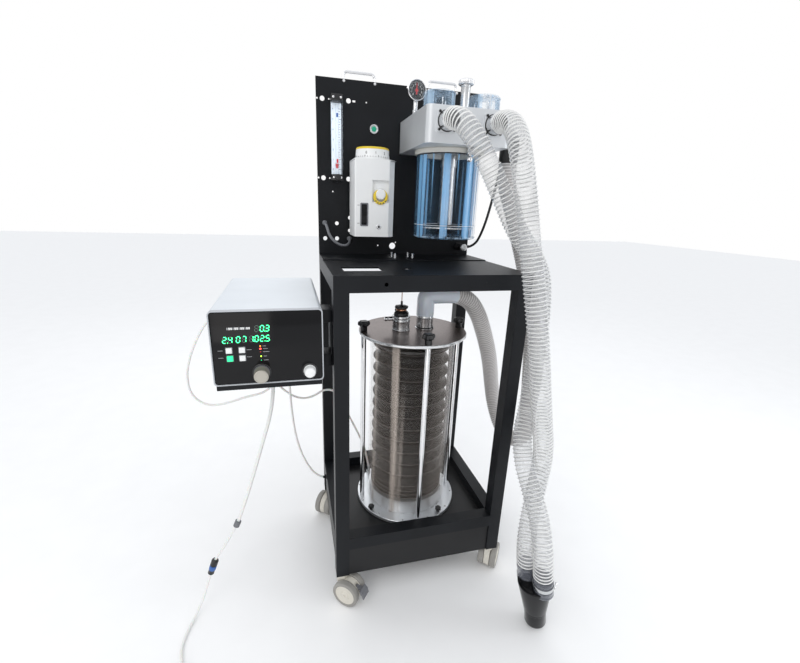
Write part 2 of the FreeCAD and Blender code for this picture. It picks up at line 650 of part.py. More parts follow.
def make_housing():
    centre = (S.bell_x, S.bell_y)
    top = S.plate_low + S.plate_thick
    drum_high = S.drum_top - S.base_low
    base = [(95, 0), (S.base_radius, 0), (S.base_radius, S.base_thick - 1),
            (S.base_radius - 1, S.base_thick), (S.drum_radius, S.base_thick),
            (S.drum_radius, drum_high), (0, drum_high), (0, drum_high - 10), (95, drum_high - 10)]
    barb = turned("drive_barb", [(0, 0), (7, 0), (7, 6), (4, 6), (4, 24), (0, 24)],
                  (-97, 104, S.base_low + S.base_thick))
    node("bellows_base", fuse("housing_base_joined",
                              turned("housing_base", base, centre + (S.base_low,)), barb))

    glass_low = S.base_low + S.base_thick
    glass_high = S.plate_low - glass_low
    inner = S.glass_radius - S.glass_wall
    node("bellows_housing", turned("housing_glass", [(inner, 0), (S.glass_radius, 0),
                                                     (S.glass_radius, glass_high),
                                                     (inner, glass_high)],
                                   centre + (glass_low,)))

    rod_places = ring_of(centre, S.rod_circle.number, ROD_ANGLES)
    holes = [(x, y, 4.5) for x, y in rod_places]
    holes += [(S.vent_x, S.vent_y, 18), (S.relief_x, S.relief_y, 15)]
    disc = plate("housing_disc", [], S.plate_thick, (0, 0, S.plate_low),
                 [(S.bell_x, S.bell_y, S.base_radius)] + holes)

    rods, knobs = [], []
    for i, (x, y) in enumerate(rod_places):
        shank = rod(f"tie_shank_{i}", S.rod_radius, glass_high, (x, y, glass_low))
        stub = rod(f"tie_stub_{i}", 4, S.plate_thick + 10, (x, y, S.plate_low))
        rods.append(fuse(f"tie_rod_{i}", shank, stub))
        profile = [(4.2, 0), (9.5, 0), (9.5, 14), (17, 16), (17, 26), (14, 29), (0, 29),
                   (0, 11), (4.2, 11)]
        knobs.append(turned(f"hand_knob_{i}", profile, (x, y, top)))
    knobs += [turned(f"hold_down_{i}", [(0, 0), (5, 0), (5, 5), (9, 7), (9, 14), (7, 16), (0, 16)],
                    (x, y, glass_low)) for i, (x, y) in enumerate(HOLD_DOWNS)]
    node("tie_rods", group("rods_and_knobs", rods + knobs))

    ring = turned("relief_ring", [(15, 0), (25, 0), (25, 43), (15, 43)],
                  (S.relief_x, S.relief_y, top))
    lever = rod("relief_spigot", 6, 24, (S.relief_x - 24, S.relief_y, top + 34), "-x")
    relief = fuse("relief_joined", ring, lever)
    cap = [(0, 0), (21, 0), (21, 8), (13, 14), (13, 20), (19, 22), (19, 27), (3, 28), (3, 40),
           (0, 40)]
    relief_cap = turned("relief_cap", cap, (S.relief_x, S.relief_y, top + 43))
    wire = rod("relief_wire", 1.2, S.shelf_level - S.sheet - top - 83,
               (S.relief_x, S.relief_y, top + 83))

    socket = [(18, 0), (26, 0), (26, 3), (23.5, 4), (23.5, 40), (18, 40)]
    vent_socket = turned("vent_socket", socket, (S.vent_x, S.vent_y, top))
    low = (top + 40).number
    level = S.elbow_level.number
    x, y = S.vent_x.number, S.vent_y.number
    bend = [Vector(x, y, low), Vector(x, y, level), Vector(130, y, level)]
    vent_elbow = hollow_pipe("vent_elbow", bend, S.elbow_radius.number, 3, 32)
    node("bellows_plate", group("plate_and_fittings", [disc, relief, relief_cap, wire,
                                                      vent_socket, vent_elbow]))

    bellows_low = S.drum_top + CLEAR
    bellows_high = S.bellows_top - CLEAR - bellows_low
    skin = S.bellows_radius - 4
    node("bellows", turned("bellows_skin", [(skin, 0), (S.bellows_radius, 0),
                                            (S.bellows_radius, bellows_high),
                                            (skin, bellows_high)], centre + (bellows_low,)))
    crown = [(0, 0), (112, 0), (112, 6), (104, 10), (0, 10)]
    node("bellows_crown", turned("bellows_crown_turned", crown, centre + (S.bellows_top,)))


# ---------------------------------------------------------------- control unit

FLOW_KNOB = (-396, 703)
RATE_KNOB = (-294, 701)
KEYS = {"key_power": (-459, 756), "key_mode": (-433, 756), "key_run": (-458, 738),
        "key_mute": (-433, 738)}
KEY_HALF = 6.0
UNIT_SHAFT = (3.0, 12.0)
UNIT_BARBS = [(-378, -95), (-345, 80), (-400, 112), (-372, 100)]


def make_unit():
    left, low, front = S.unit_left, S.unit_low, S.unit_front
    wide, high, wall = S.unit_wide, S.unit_high, S.unit_wall
    outside = rectangle(left, low, wide, high)
    inside = rectangle(left + wall, low + wall, wide - wall * 2, high - wall * 2)
    shell_deep = S.unit_deep - 12
    shell = plate("unit_shell", [outside], shell_deep, (0, front + S.unit_deep, 0),
                  plane="XZ_Plane", corner=S.unit_corner)
    room = plate("unit_room", [inside], shell_deep - wall, (0, front + S.unit_deep - wall, 0),
                 plane="XZ_Plane", corner=S.unit_corner - wall)
    node("unit_cover", cut("unit_cover_hollow", shell, room))

    bezel_plate = plate("unit_bezel_plate", [outside], 12, (0, front + 12, 0),
                        plane="XZ_Plane", corner=S.unit_corner)
    edge = 4
    window = rectangle(left + edge, low + edge, wide - edge * 2, high - edge * 2)
    opening = plate("unit_bezel_opening", [window], 14, (0, front + 13, 0), plane="XZ_Plane",
                    corner=S.unit_corner - edge)
    front_parts = [cut("unit_bezel_ring", bezel_plate, opening)]

    glass_y = front + 2
    holes = [(x, z, UNIT_SHAFT[0] + RUNNING) for x, z in (FLOW_KNOB, RATE_KNOB)]
    key_room = [rectangle(x - KEY_HALF - CLEAR, z - KEY_HALF - CLEAR,
                          2 * (KEY_HALF + CLEAR), 2 * (KEY_HALF + CLEAR))
                for x, z in KEYS.values()]
    panel = plate("unit_glass", [window] + key_room, 10, (0, glass_y + 10, 0), holes,
                  plane="XZ_Plane")
    block = box("unit_glass_block", (wide, 12, high), (left, glass_y - 1, low))
    keep = plate("unit_glass_keep", [window], 14, (0, glass_y + 12, 0), plane="XZ_Plane",
                 corner=S.unit_corner - edge)
    front_parts.append(cut("unit_glass_fit", panel, cut("unit_glass_waste", block, keep)))

    for name, (x, z) in KEYS.items():
        key = box(name + "_cap", (2 * KEY_HALF, 9, 2 * KEY_HALF),
                  (x - KEY_HALF, glass_y - 3, z - KEY_HALF))
        node(name, key)
    shaft_knob("flow_knob", (FLOW_KNOB[0], glass_y, FLOW_KNOB[1]), "-y", (17.0, 28.0), UNIT_SHAFT)
    shaft_knob("rate_knob", (RATE_KNOB[0], glass_y, RATE_KNOB[1]), "-y", (14.0, 20.0), UNIT_SHAFT)

    front_parts.append(box("unit_base_plate", (wide - 8, S.unit_deep - 6, 12),
                           (left + 4, front + 3, low - 12)))
    board = box("unit_board_sheet", (180, 2, 120), (left + 26, front + 40, low + 22))
    spacers = [rod(f"unit_board_spacer_{i}", 3, 28, (left + 116 + 80 * across, front + 12,
                                                    low + 82 + 50 * up), "y")
               for i, (across, up) in enumerate(CORNERS)]
    valves = box("unit_valves", (90, 140, 60), (left + 70, front + 160, low + wall))
    front_parts += [fuse("unit_board_joined", board, *spacers), valves]
    bracket = box("unit_bracket_plate", (23, 50, 30), (left + wide, -170, low + 20))
    upper = box("unit_bracket_upper", (23, 50, 30), (left + wide, -170, low + high - 40))
    strap = box("unit_bracket_strap", (4, 50, high - 30), (-S.cart_wide / 2 - 4, -170, low + 20))
    front_parts.append(fuse("unit_bracket_joined", bracket, upper, strap))
    front_parts += [rod(f"unit_barb_{i}", 5, 14, (x, y, low - 12), "-z")
                    for i, (x, y) in enumerate(UNIT_BARBS)]
    front_parts.append(rod("unit_barb_side", 4, 14, (left, 100, 765), "-x"))
    node("unit_front", group("unit_frame_parts", front_parts))


# ---------------------------------------------------------------- casters

CASTER_YAW = {"front_left": 52.0, "front_right": 140.0, "rear_left": -35.0, "rear_right": 20.0}
BRAKED = "front_left"
PEDAL_PIN = (-47, 55)    # from the swivel axis against the heading, and height


def caster_places():
    """Name, post corner and heading of each caster; heading 0 trails to the front."""
    inset_x = (S.cart_wide.number - S.post_side.number) / 2
    inset_y = (S.cart_deep.number - S.post_side.number) / 2
    for name, yaw in CASTER_YAW.items():
        y = -inset_y if name.startswith("front") else inset_y
        x = -inset_x if name.endswith("left") else inset_x
        yield name, x, y, yaw


def caster_fork(name):
    """Stem, hood and axle of a twin-wheel caster, about its own swivel axis."""
    radius, trail, gap = S.wheel_radius, S.caster_trail, S.wheel_gap
    hood_wide = gap - 2
    shoulder, collar = S.post_foot - CLEAR, S.post_foot + S.tube_wall + CLEAR
    stem = turned(f"stem_{name}", [(0, 76), (12, 76), (12, shoulder), (STEM_RADIUS, shoulder),
                                   (STEM_RADIUS, collar), (7, collar), (7, collar + 3),
                                   (0, collar + 3)])
    neck = box(f"neck_{name}", (hood_wide, 24, 22), (-hood_wide / 2, -12, 55))
    hood = rod(f"hood_{name}", 35, hood_wide, (-hood_wide / 2, -trail, radius), "x")
    waste = [box(f"hood_waste_{name}", (gap, 80, 10), (-gap / 2, -trail - 40, 0))]
    if name == BRAKED:
        waste.append(box("pedal_slot", (12 + 2 * CLEAR, 20, 26), (-6 - CLEAR, -61, 49)))
    hood = cut(f"hood_trimmed_{name}", hood, *waste)
    axle_long = gap + S.wheel_wide * 2 - 4
    axle = rod(f"axle_{name}", 3, axle_long, (-axle_long / 2, -trail, radius), "x")
    pieces = [stem, neck, hood, axle]
    if name == BRAKED:
        pieces.append(rod("pedal_pin", 2, hood_wide, (-hood_wide / 2,) + PEDAL_PIN, "x"))
    return fuse(f"fork_{name}", *pieces)


def brake_pedal():
    """The pedal that hangs on its pin in the hood's slot and reaches out past the wheels."""
    y, z = PEDAL_PIN
    knuckle = rod("pedal_knuckle", 4, 12, (-6, y, z), "x")
    arm = box("pedal_arm", (12, 15, 5), (-6, y - 17, z - 2.5))
    profile = [(-61, 58), (-64, 60), (-72, 52), (-76, 38), (-73, 36), (-68, 48), (-62.5, 53)]
    paddle = plate("pedal_paddle", [profile], 28, (-14, 0, 0), plane="XZ_Plane", axis="side")
    joined = fuse("pedal_joined", knuckle, arm, paddle)
    return cut("pedal_bored", joined, rod("pedal_hole", 2 + RUNNING, 14, (-7, y, z), "x"))


def make_casters():
    radius, wide, gap = S.wheel_radius, S.wheel_wide, S.wheel_gap
    profile = [(3 + RUNNING, 0), (radius - 3, 0), (radius, 3), (radius, wide - 3),
               (radius - 3, wide), (3 + RUNNING, wide)]
    for name, x, y, yaw in caster_places():
        wheels = [turned(f"wheel_{side}_{name}", profile, (offset, -S.caster_trail, radius), "x")
                  for side, offset in (("a", gap / 2), ("b", -gap / 2 - wide))]
        parts = {f"caster_fork_{name}": caster_fork(name),
                 f"caster_wheels_{name}": group(f"wheels_{name}", wheels)}
        if name == BRAKED:
            parts["brake_pedal"] = brake_pedal()
        for label, part in parts.items():
            place(part, (x, y, 0), Rotation(Vector(0, 0, 1), yaw))
            node(label, part)


# ---------------------------------------------------------------- hoses and tubes

def bent_path(points, radius=None):
    """Straight runs joined by tangent arcs; with no radius, arcs as large as the runs allow."""
    edges = []
    radii = []
    here = points[0]
    for before, corner, after in zip(points, points[1:], points[2:]):
        back, ahead = before - corner, after - corner
        run = min(back.Length, ahead.Length)
        half_turn = (math.pi - back.getAngle(ahead)) / 2
        back.normalize()
        ahead.normalize()
        reach = ARC_SHARE * run if radius is None else radius * math.tan(half_turn)
        bend = reach / math.tan(half_turn)
        inward = (back + ahead).normalize()
        start, end = corner + back * reach, corner + ahead * reach
        middle = corner + inward * (bend / math.cos(half_turn) - bend)
        edges.append(Part.LineSegment(here, start).toShape())
        edges.append(Part.Arc(start, middle, end).toShape())
        radii.append(bend)
        here = end
    edges.append(Part.LineSegment(here, points[-1]).toShape())
    return Part.Wire(edges), radii


def pipe(path, radius):
    """A round solid swept along a path of runs and arcs."""
    wire, _ = path
    start = wire.Edges[0].Vertexes[0].Point
    ahead = wire.Edges[0].tangentAt(wire.Edges[0].FirstParameter)
    ring = Part.Wire([Part.Circle(start, ahead, radius).toShape()])
    solid = wire.makePipeShell([ring], True, False)
    expected = math.pi * radius ** 2 * wire.Length
    if abs(solid.Volume - expected) > 0.02 * expected:
        raise RuntimeError(f"swept volume {solid.Volume:.0f}, expected {expected:.0f}")
    return solid


def hollow_pipe(name, points, radius, wall, bend=None):
    obj = doc.addObject("Part::Feature", name)
    path = bent_path(points, bend)
    obj.Shape = pipe(path, radius).cut(pipe(path, radius - wall))
    return place(obj)


def tube(name, points, diameter, wall=None):
    """One stretch of hose or tube; wall makes it hollow."""
    path = bent_path([Vector(*point) for point in points])
    radius = diameter.number / 2
    solid = pipe(path, radius)
    if wall is not None:
        solid = solid.cut(pipe(path, radius - wall.number))
    obj = doc.addObject("Part::Feature", name + "_run")
    obj.Shape = solid
    wire, radii = path
    listed = ", ".join(f"{bend:.0f}" for bend in radii)
    print(f"{name}: length {wire.Length:.0f}, diameter {diameter.number}, radii {listed}")
    return place(obj)


HOSE_LEFT = [(44, -97, 1252), (46, -140, 1247), (70, -172, 1205), (104, -186, 1147),
             (142, -190, 1083), (182, -190, 1018), (228, -184, 968), (275, -176, 912),
             (292, -172, 835), (293, -178, 740), (285, -192, 640), (268, -212, 560),
             (236, -250, 500), (224, -292, 447), (230, -336, 392), (241, -370, 328)]
HOSE_RIGHT = [(164, -97, 1252), (163, -142, 1250), (160, -190, 1215), (159, -228, 1150),
              (166, -252, 1070), (178, -266, 985), (193, -278, 900), (207, -290, 815),
              (222, -297, 725), (240, -297, 635), (262, -292, 550), (283, -285, 470),
              (282, -284, 398), (264, -300, 334), (236, -332, 288)]
VENT_HOSE = [(130, 8, 822), (170, 12, 812), (212, 22, 765), (247, 38, 697), (283, 60, 620),
             (315, 92, 545), (342, 124, 478), (360, 122, 392), (367, 66, 328), (370, -18, 328),
             (368, -76, 390), (360, -86, 480), (353, -82, 600), (347, -74, 700),
             (338, -58, 800), (322, -38, 890), (302, -14, 980), (280, 8, 1065),
             (258, 20, 1130), (258, 20, 1180)]
GAS_LINE = [(226, 66, 1232), (256, 66, 1230), (266, 70, 1194), (264, 82, 1135),
            (258, 94, 1075), (252, 104, 1025), (246, 122, 980), (243, 148, 952), (230, 160, 944)]
JUMPER = [(-222, 181.5, 1005), (-222, 151, 1004), (-213, 140, 968), (-185, 136, 944),
          (-156, 142, 946), (-149, 181.5, 960)]
DRIVE_TUBE = [(-378, -95, 650), (-381, -98, 600), (-392, -101, 540), (-412, -106, 478),
              (-438, -110, 395), (-465, -115, 312), (-487, -119, 254)]
TAIL_UPPER = [(-494, -120, 238), (-516, -122, 200), (-540, -125, 165), (-552, -127, 147)]
TAIL_LOWER = [(-568, -129, 103), (-580, -132, 66), (-592, -137, 30), (-606, -160, 9),
              (-622, -205, 4), (-627, -255, 5), (-612, -295, 7)]
PLUG_END = (-590, -330, 7.5)
MONITOR_LOOP = [(-509, 100, 765), (-540, 100, 757), (-572, 100, 715), (-602, 100, 655),
                (-622, 100, 590), (-618, 100, 525), (-580, 100, 487), (-530, 100, 488),
                (-470, 100, 506), (-415, 100, 515), (-382, 100, 550), (-372, 100, 600),
                (-372, 100, 650)]
FEED_TUBE = [(-345, 80, 650), (-345, 88, 600), (-343, 96, 530), (-341, 100, 455),
             (-335, 100, 380), (-322, 100, 310), (-298, 100, 245), (-272, 100, 205),
             (-250, 100, 194)]
BELLOWS_TUBE = [(-400, 112, 650), (-400, 114, 600), (-388, 122, 540), (-356, 129, 500),
                (-328, 131, 478), (-299, 131, 470), (-268, 131, 478), (-240, 131, 497),
                (-205, 131, 492), (-182, 131, 452), (-162, 131, 400), (-132, 128, 335),
                (-106, 114, 275), (-97, 104, 214)]


def make_hoses():
    for name, points in (("hose_left", HOSE_LEFT + leg_run("left", 70)),
                         ("hose_right", HOSE_RIGHT + leg_run("right", 45)),
                         ("vent_hose", VENT_HOSE)):
        node(name, tube(name, points, S.hose_wide, S.hose_wall))
    for name, points in (("gas_line_tube", GAS_LINE), ("jumper_tube", JUMPER)):
        node(name, tube(name, points, S.gas_line))
    node("drive_tube", tube("drive_tube", DRIVE_TUBE, S.drive_line))
    for name, points in (("monitor_tube", MONITOR_LOOP), ("feed_tube", FEED_TUBE),
                         ("bellows_tube", BELLOWS_TUBE), ("supply_upper", TAIL_UPPER),
                         ("supply_lower", TAIL_LOWER)):
        node(name, tube(name, points, S.thin_line))
    node("supply_fittings", group("supply_links", [
        link("supply_ring", DRIVE_TUBE[-1], TAIL_UPPER[0], 8.0),
        link("supply_coupler", TAIL_UPPER[-1], TAIL_LOWER[0], 9.0),
        link("supply_plug", TAIL_LOWER[-1], PLUG_END, 6.0)]))


def link(name, start, end, radius):
    """A round fitting that joins two tube ends."""
    start, end = Vector(*start), Vector(*end)
    obj = doc.addObject("Part::Feature", name)
    obj.Shape = Part.makeCylinder(radius, (end - start).Length, start, end - start)
    return place(obj)


Y_TOP = (242, -377, 190)     # midway between the mouths of the two cuffs
Y_TURN = Rotation(Vector(0, 1, 0), -9)
Y_LEGS = {"left": (8, -25), "right": (-8, 25)}
CUFF_LONG = 50
CONE_FOOT = -176


def leg_run(side, rise):
    """The last straight run of a hose, down into its cuff."""
    x, y = Y_LEGS[side]
    return [tuple(Vector(*Y_TOP) + Y_TURN.multVec(Vector(x, y, up))) for up in (rise, 0)]


def make_y_piece():
    """Two cuffs that meet in a cone with the patient's 44 mm bore."""
    cuffs = [rod(f"y_cuff_{side}", S.hose_wide / 2, CUFF_LONG, (x, y, -CUFF_LONG))
             for side, (x, y) in Y_LEGS.items()]
    bores = [rod(f"y_bore_{side}", 19, CUFF_LONG, (x, y, 4 - CUFF_LONG))
             for side, (x, y) in Y_LEGS.items()]
    cone = turned("y_cone", [(0, CONE_FOOT), (27.5, CONE_FOOT), (27.5, CONE_FOOT + 40),
                             (44, -36), (0, -36)])
    room = turned("y_room", [(0, CONE_FOOT - 1), (22, CONE_FOOT - 1), (22, CONE_FOOT + 45),
                             (19, CONE_FOOT + 60), (19, -100), (33, -CUFF_LONG), (33, -42),
                             (0, -42)])
    piece = cut("y_hollow", fuse("y_solid", cone, *cuffs), room, *bores)
    place(piece, Y_TOP, Y_TURN)
    node("y_piece", piece)


# ---------------------------------------------------------------- build, check, write

def check_and_write():
    doc.recompute()
    for obj in doc.Objects:
        failed = {"Invalid", "Error"} & set(obj.State)
        if failed:
            raise RuntimeError(f"{obj.Name} is {failed}")
    os.makedirs(PARTS, exist_ok=True)
    whole = FreeCAD.BoundBox()
    for obj in nodes:
        if obj.Shape.isNull() or not obj.Shape.isValid():
            raise RuntimeError(f"{obj.Label} has no valid shape")
        whole.add(obj.Shape.BoundBox)
        obj.Shape.exportStep(os.path.join(PARTS, obj.Label + ".step"))
        box_of = obj.Shape.BoundBox
        print(f"{obj.Label}: {len(obj.Shape.Solids)} solids, volume {obj.Shape.Volume:.0f}, "
              f"x {box_of.XMin:.1f}..{box_of.XMax:.1f}, y {box_of.YMin:.1f}..{box_of.YMax:.1f}, "
              f"z {box_of.ZMin:.1f}..{box_of.ZMax:.1f}")
    print(f"{len(nodes)} sub-parts, whole {whole}")


make_frame()
make_panel()
make_handles()
make_flowmeter()
make_vaporizer()
make_head()
make_gauge()
make_canister()
make_housing()
make_unit()
make_casters()
make_hoses()
make_y_piece()
check_and_write()
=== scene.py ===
"""Looks of a small-animal anesthesia machine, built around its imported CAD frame."""
from math import cos, degrees, pi, radians, sin, tau

import bmesh
import bpy
from mathutils import Matrix, Vector


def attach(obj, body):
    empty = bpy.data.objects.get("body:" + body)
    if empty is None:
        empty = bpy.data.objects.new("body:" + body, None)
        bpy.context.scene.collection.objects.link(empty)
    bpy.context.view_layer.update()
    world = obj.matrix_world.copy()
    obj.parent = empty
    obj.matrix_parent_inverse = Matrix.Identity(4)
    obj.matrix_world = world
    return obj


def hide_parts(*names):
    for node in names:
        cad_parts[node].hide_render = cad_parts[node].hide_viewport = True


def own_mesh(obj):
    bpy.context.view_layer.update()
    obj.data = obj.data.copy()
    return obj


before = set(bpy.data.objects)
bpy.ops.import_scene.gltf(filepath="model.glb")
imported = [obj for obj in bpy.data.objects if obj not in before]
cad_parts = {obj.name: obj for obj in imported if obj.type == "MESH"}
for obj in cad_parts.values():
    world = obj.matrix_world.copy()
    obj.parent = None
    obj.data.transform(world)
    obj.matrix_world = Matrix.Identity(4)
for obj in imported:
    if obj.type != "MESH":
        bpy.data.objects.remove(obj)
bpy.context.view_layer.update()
CART = Vector((110.85, 15.7, 0.0))    # origin of the cart in the frame, in mm
X, Y, Z = Vector((1, 0, 0)), Vector((0, 1, 0)), Vector((0, 0, 1))
SHELF = 912.0                         # top of the shelf
PANEL = 197.5                         # front face of the back panel
BLOCK_TOP, BLOCK_FRONT = 1286, -62    # top and front faces of the absorber block
PORT_Z = 1252                         # height of the two hose ports
CANISTER = (105, 66)                  # axis of the canister, x and y
APL = (105, -15)                      # axis of the pressure limiting valve, x and y
GLASS_Y = -199                        # front face of the control unit's glass
DRUM = (3, -3)                        # axis of the bellows, x and y
DRUM_TOP, LID_TOP = 190, 727          # top of the bellows base and of its lid


def at(x, y, z):
    """A place given in the cart's millimetres, in the frame's metres."""
    return (Vector((x, y, z)) + CART) / 1000


# ---------------------------------------------------------------- camera, light, floor

def make_camera():
    """The place, turn and lens of the photograph, fitted to the cart's straight edges."""
    data = bpy.data.cameras.new("camera")
    data.lens, data.sensor_width = 18.27, 36.0
    data.shift_x, data.shift_y = 0.0056, 0.006
    camera = bpy.data.objects.new("camera", data)
    right = Vector((0.9685, -0.2465, 0.0342)).normalized()
    back = Vector((-0.2451, -0.9215, 0.3012)).normalized()
    up = back.cross(right)
    camera.matrix_world = Matrix.Translation(at(-327.8, -1061.9, 1053.5)) @ Matrix(
        (right, up, back)).transposed().to_4x4()
    bpy.context.collection.objects.link(camera)
    bpy.context.scene.camera = camera


def make_light(name, where, target, size, power, colour):
    data = bpy.data.lights.new(name, "AREA")
    data.shape, data.size, data.size_y = "RECTANGLE", size[0], size[1]
    data.energy, data.color = power, colour
    light = bpy.data.objects.new(name, data)
    light.location = where
    light.rotation_euler = (Vector(target) - Vector(where)).to_track_quat("-Z", "Y").to_euler()
    bpy.context.collection.objects.link(light)


def make_studio():
    """White where the camera looks past the object, and a soft gradient for all other rays."""
    world = bpy.data.worlds.new("studio")
    world.use_nodes = True
    bpy.context.scene.world = world
    nodes, links = world.node_tree.nodes, world.node_tree.links
    nodes.clear()
    coords, split, ramp, shift, lit, seen, path, mix, out = (
        nodes.new("ShaderNode" + kind) for kind in
        ("TexCoord", "SeparateXYZ", "ValToRGB", "Math", "Background", "Background", "LightPath",
         "MixShader", "OutputWorld"))
    for element, height, colour in zip(ramp.color_ramp.elements, (0.30, 0.75),
                                       ((0.30, 0.29, 0.28, 1), (0.95, 0.97, 1.0, 1))):
        element.position, element.color = height, colour
    shift.operation = "MULTIPLY_ADD"     # from the -1 to 1 of a direction to the ramp's 0 to 1
    shift.inputs[1].default_value = shift.inputs[2].default_value = 0.5
    lit.inputs["Strength"].default_value = 1.02
    seen.inputs["Color"].default_value = (1, 1, 1, 1)
    for source, target in (
            (coords.outputs["Generated"], split.inputs[0]), (split.outputs["Z"], shift.inputs[0]),
            (shift.outputs[0], ramp.inputs[0]), (ramp.outputs[0], lit.inputs["Color"]),
            (path.outputs["Is Camera Ray"], mix.inputs[0]), (lit.outputs[0], mix.inputs[1]),
            (seen.outputs[0], mix.inputs[2]), (mix.outputs[0], out.inputs[0])):
        links.new(source, target)
    bpy.context.scene.view_settings.view_transform = "Standard"
    make_light("key", (-1.6, -1.9, 2.5), (0.1, 0, 0.7), (1.4, 1.4), 15, (1.0, 0.98, 0.95))
    make_light("side", (2.4, -1.0, 1.5), (0.1, 0, 0.8), (0.5, 2.2), 10, (0.93, 0.97, 1.0))
    make_light("low", (-0.9, -2.2, 0.7), (0.1, 0, 0.3), (1.2, 0.9), 4, (1.0, 0.95, 0.9))
    make_light("behind", (0.3, 2.4, 2.2), (0.1, 0, 0.7), (2.0, 1.2), 9, (1.0, 1.0, 1.0))

    floor_mesh = bpy.data.meshes.new("floor")
    reach = 14.0
    floor_mesh.from_pydata([(-reach, -reach, 0), (reach, -reach, 0), (reach, reach, 0),
                            (-reach, reach, 0)], [], [(0, 1, 2, 3)])
    floor = bpy.data.objects.new("floor", floor_mesh)
    bpy.context.collection.objects.link(floor)
    floor.data.materials.append(surface("floor_paint", (0.93, 0.93, 0.93), 0.75, grain=60,
                                        bump=0.02, vary=0.01))


# ---------------------------------------------------------------- materials

def put(node, **values):
    """Sets inputs of a node by name, with _ for a space."""
    for socket, value in values.items():
        node.inputs[socket.replace("_", " ")].default_value = value


def surface(name, colour, rough, metal=0.0, grain=900.0, bump=0.1, vary=0.05, patch=9.0,
            stretch=(1, 1, 1), rough_vary=0.08, **sockets):
    """An opaque material with fine grain in its bump and slow patches in colour and gloss."""
    material = bpy.data.materials.new(name)
    material.use_nodes = True
    nodes, links = material.node_tree.nodes, material.node_tree.links
    shader = nodes["Principled BSDF"]
    coords, mapping, fine, slow, relief, tint, gloss = (
        nodes.new("ShaderNode" + kind) for kind in
        ("TexCoord", "Mapping", "TexNoise", "TexNoise", "Bump", "ValToRGB", "MapRange"))
    put(shader, Metallic=metal, **sockets)
    put(mapping, Scale=stretch)
    put(fine, Scale=grain, Detail=3)
    put(slow, Scale=patch, Detail=4)
    put(relief, Strength=bump, Distance=0.0006)
    put(gloss, To_Min=max(0.02, rough - rough_vary), To_Max=rough + rough_vary)
    for element, place, share in zip(tint.color_ramp.elements, (0.3, 0.7), (1 - vary, 1 + vary)):
        element.position = place
        element.color = [min(1, channel * share) for channel in colour] + [1]
    for source, target in (
            (coords.outputs["Object"], mapping.inputs[0]), (mapping.outputs[0], fine.inputs[0]),
            (coords.outputs["Object"], slow.inputs[0]), (fine.outputs[0], relief.inputs["Height"]),
            (relief.outputs[0], shader.inputs["Normal"]), (slow.outputs[0], tint.inputs[0]),
            (tint.outputs[0], shader.inputs["Base Color"]), (fine.outputs[0], gloss.inputs[0]),
            (gloss.outputs[0], shader.inputs["Roughness"])):
        links.new(source, target)
    return material


def clear(name, tint, face, rim, rough=0.06, reflection_streak=0.0, stretch=(60, 60, 1.2),
          edges=(0.54, 0.62)):
    """See-through plastic: nearly gone where it faces the eye, milky at its rims, with optional
    bands of stretched noise that add opacity in the tint as painted reflections.
    """
    material = surface(name, tint, rough, grain=400, bump=0.03, rough_vary=0.03)
    nodes, links = material.node_tree.nodes, material.node_tree.links
    shader = nodes["Principled BSDF"]
    put(shader, Coat_Weight=0.6)
    weight, share = nodes.new("ShaderNodeLayerWeight"), nodes.new("ShaderNodeMapRange")
    put(weight, Blend=0.35)
    put(share, To_Min=face, To_Max=rim)
    links.new(weight.outputs["Facing"], share.inputs[0])
    alpha = share.outputs[0]
    # Painted reflection: stretched noise, cut to a band, adds opacity in the tint.
    if reflection_streak:
        coords, mapping = nodes.new("ShaderNodeTexCoord"), nodes.new("ShaderNodeMapping")
        reflection_lines, band = nodes.new("ShaderNodeTexNoise"), nodes.new("ShaderNodeMapRange")
        put(mapping, Scale=stretch)
        put(reflection_lines, Scale=1.0)
        put(band, From_Min=edges[0], From_Max=edges[1], To_Max=reflection_streak)
        total = nodes.new("ShaderNodeMath")
        total.use_clamp = True
        links.new(coords.outputs["Object"], mapping.inputs[0])
        links.new(mapping.outputs[0], reflection_lines.inputs[0])
        links.new(reflection_lines.outputs[0], band.inputs[0])
        links.new(band.outputs[0], total.inputs[0])
        links.new(alpha, total.inputs[1])
        alpha = total.outputs[0]
    links.new(alpha, shader.inputs["Alpha"])
    return material


def glow(name, colour, strength):
    """A plastic that also gives off its own light."""
    material = surface(name, colour, 0.4, grain=600, bump=0.05)
    put(material.node_tree.nodes["Principled BSDF"], Emission_Color=(*colour, 1),
        Emission_Strength=strength)
    return material


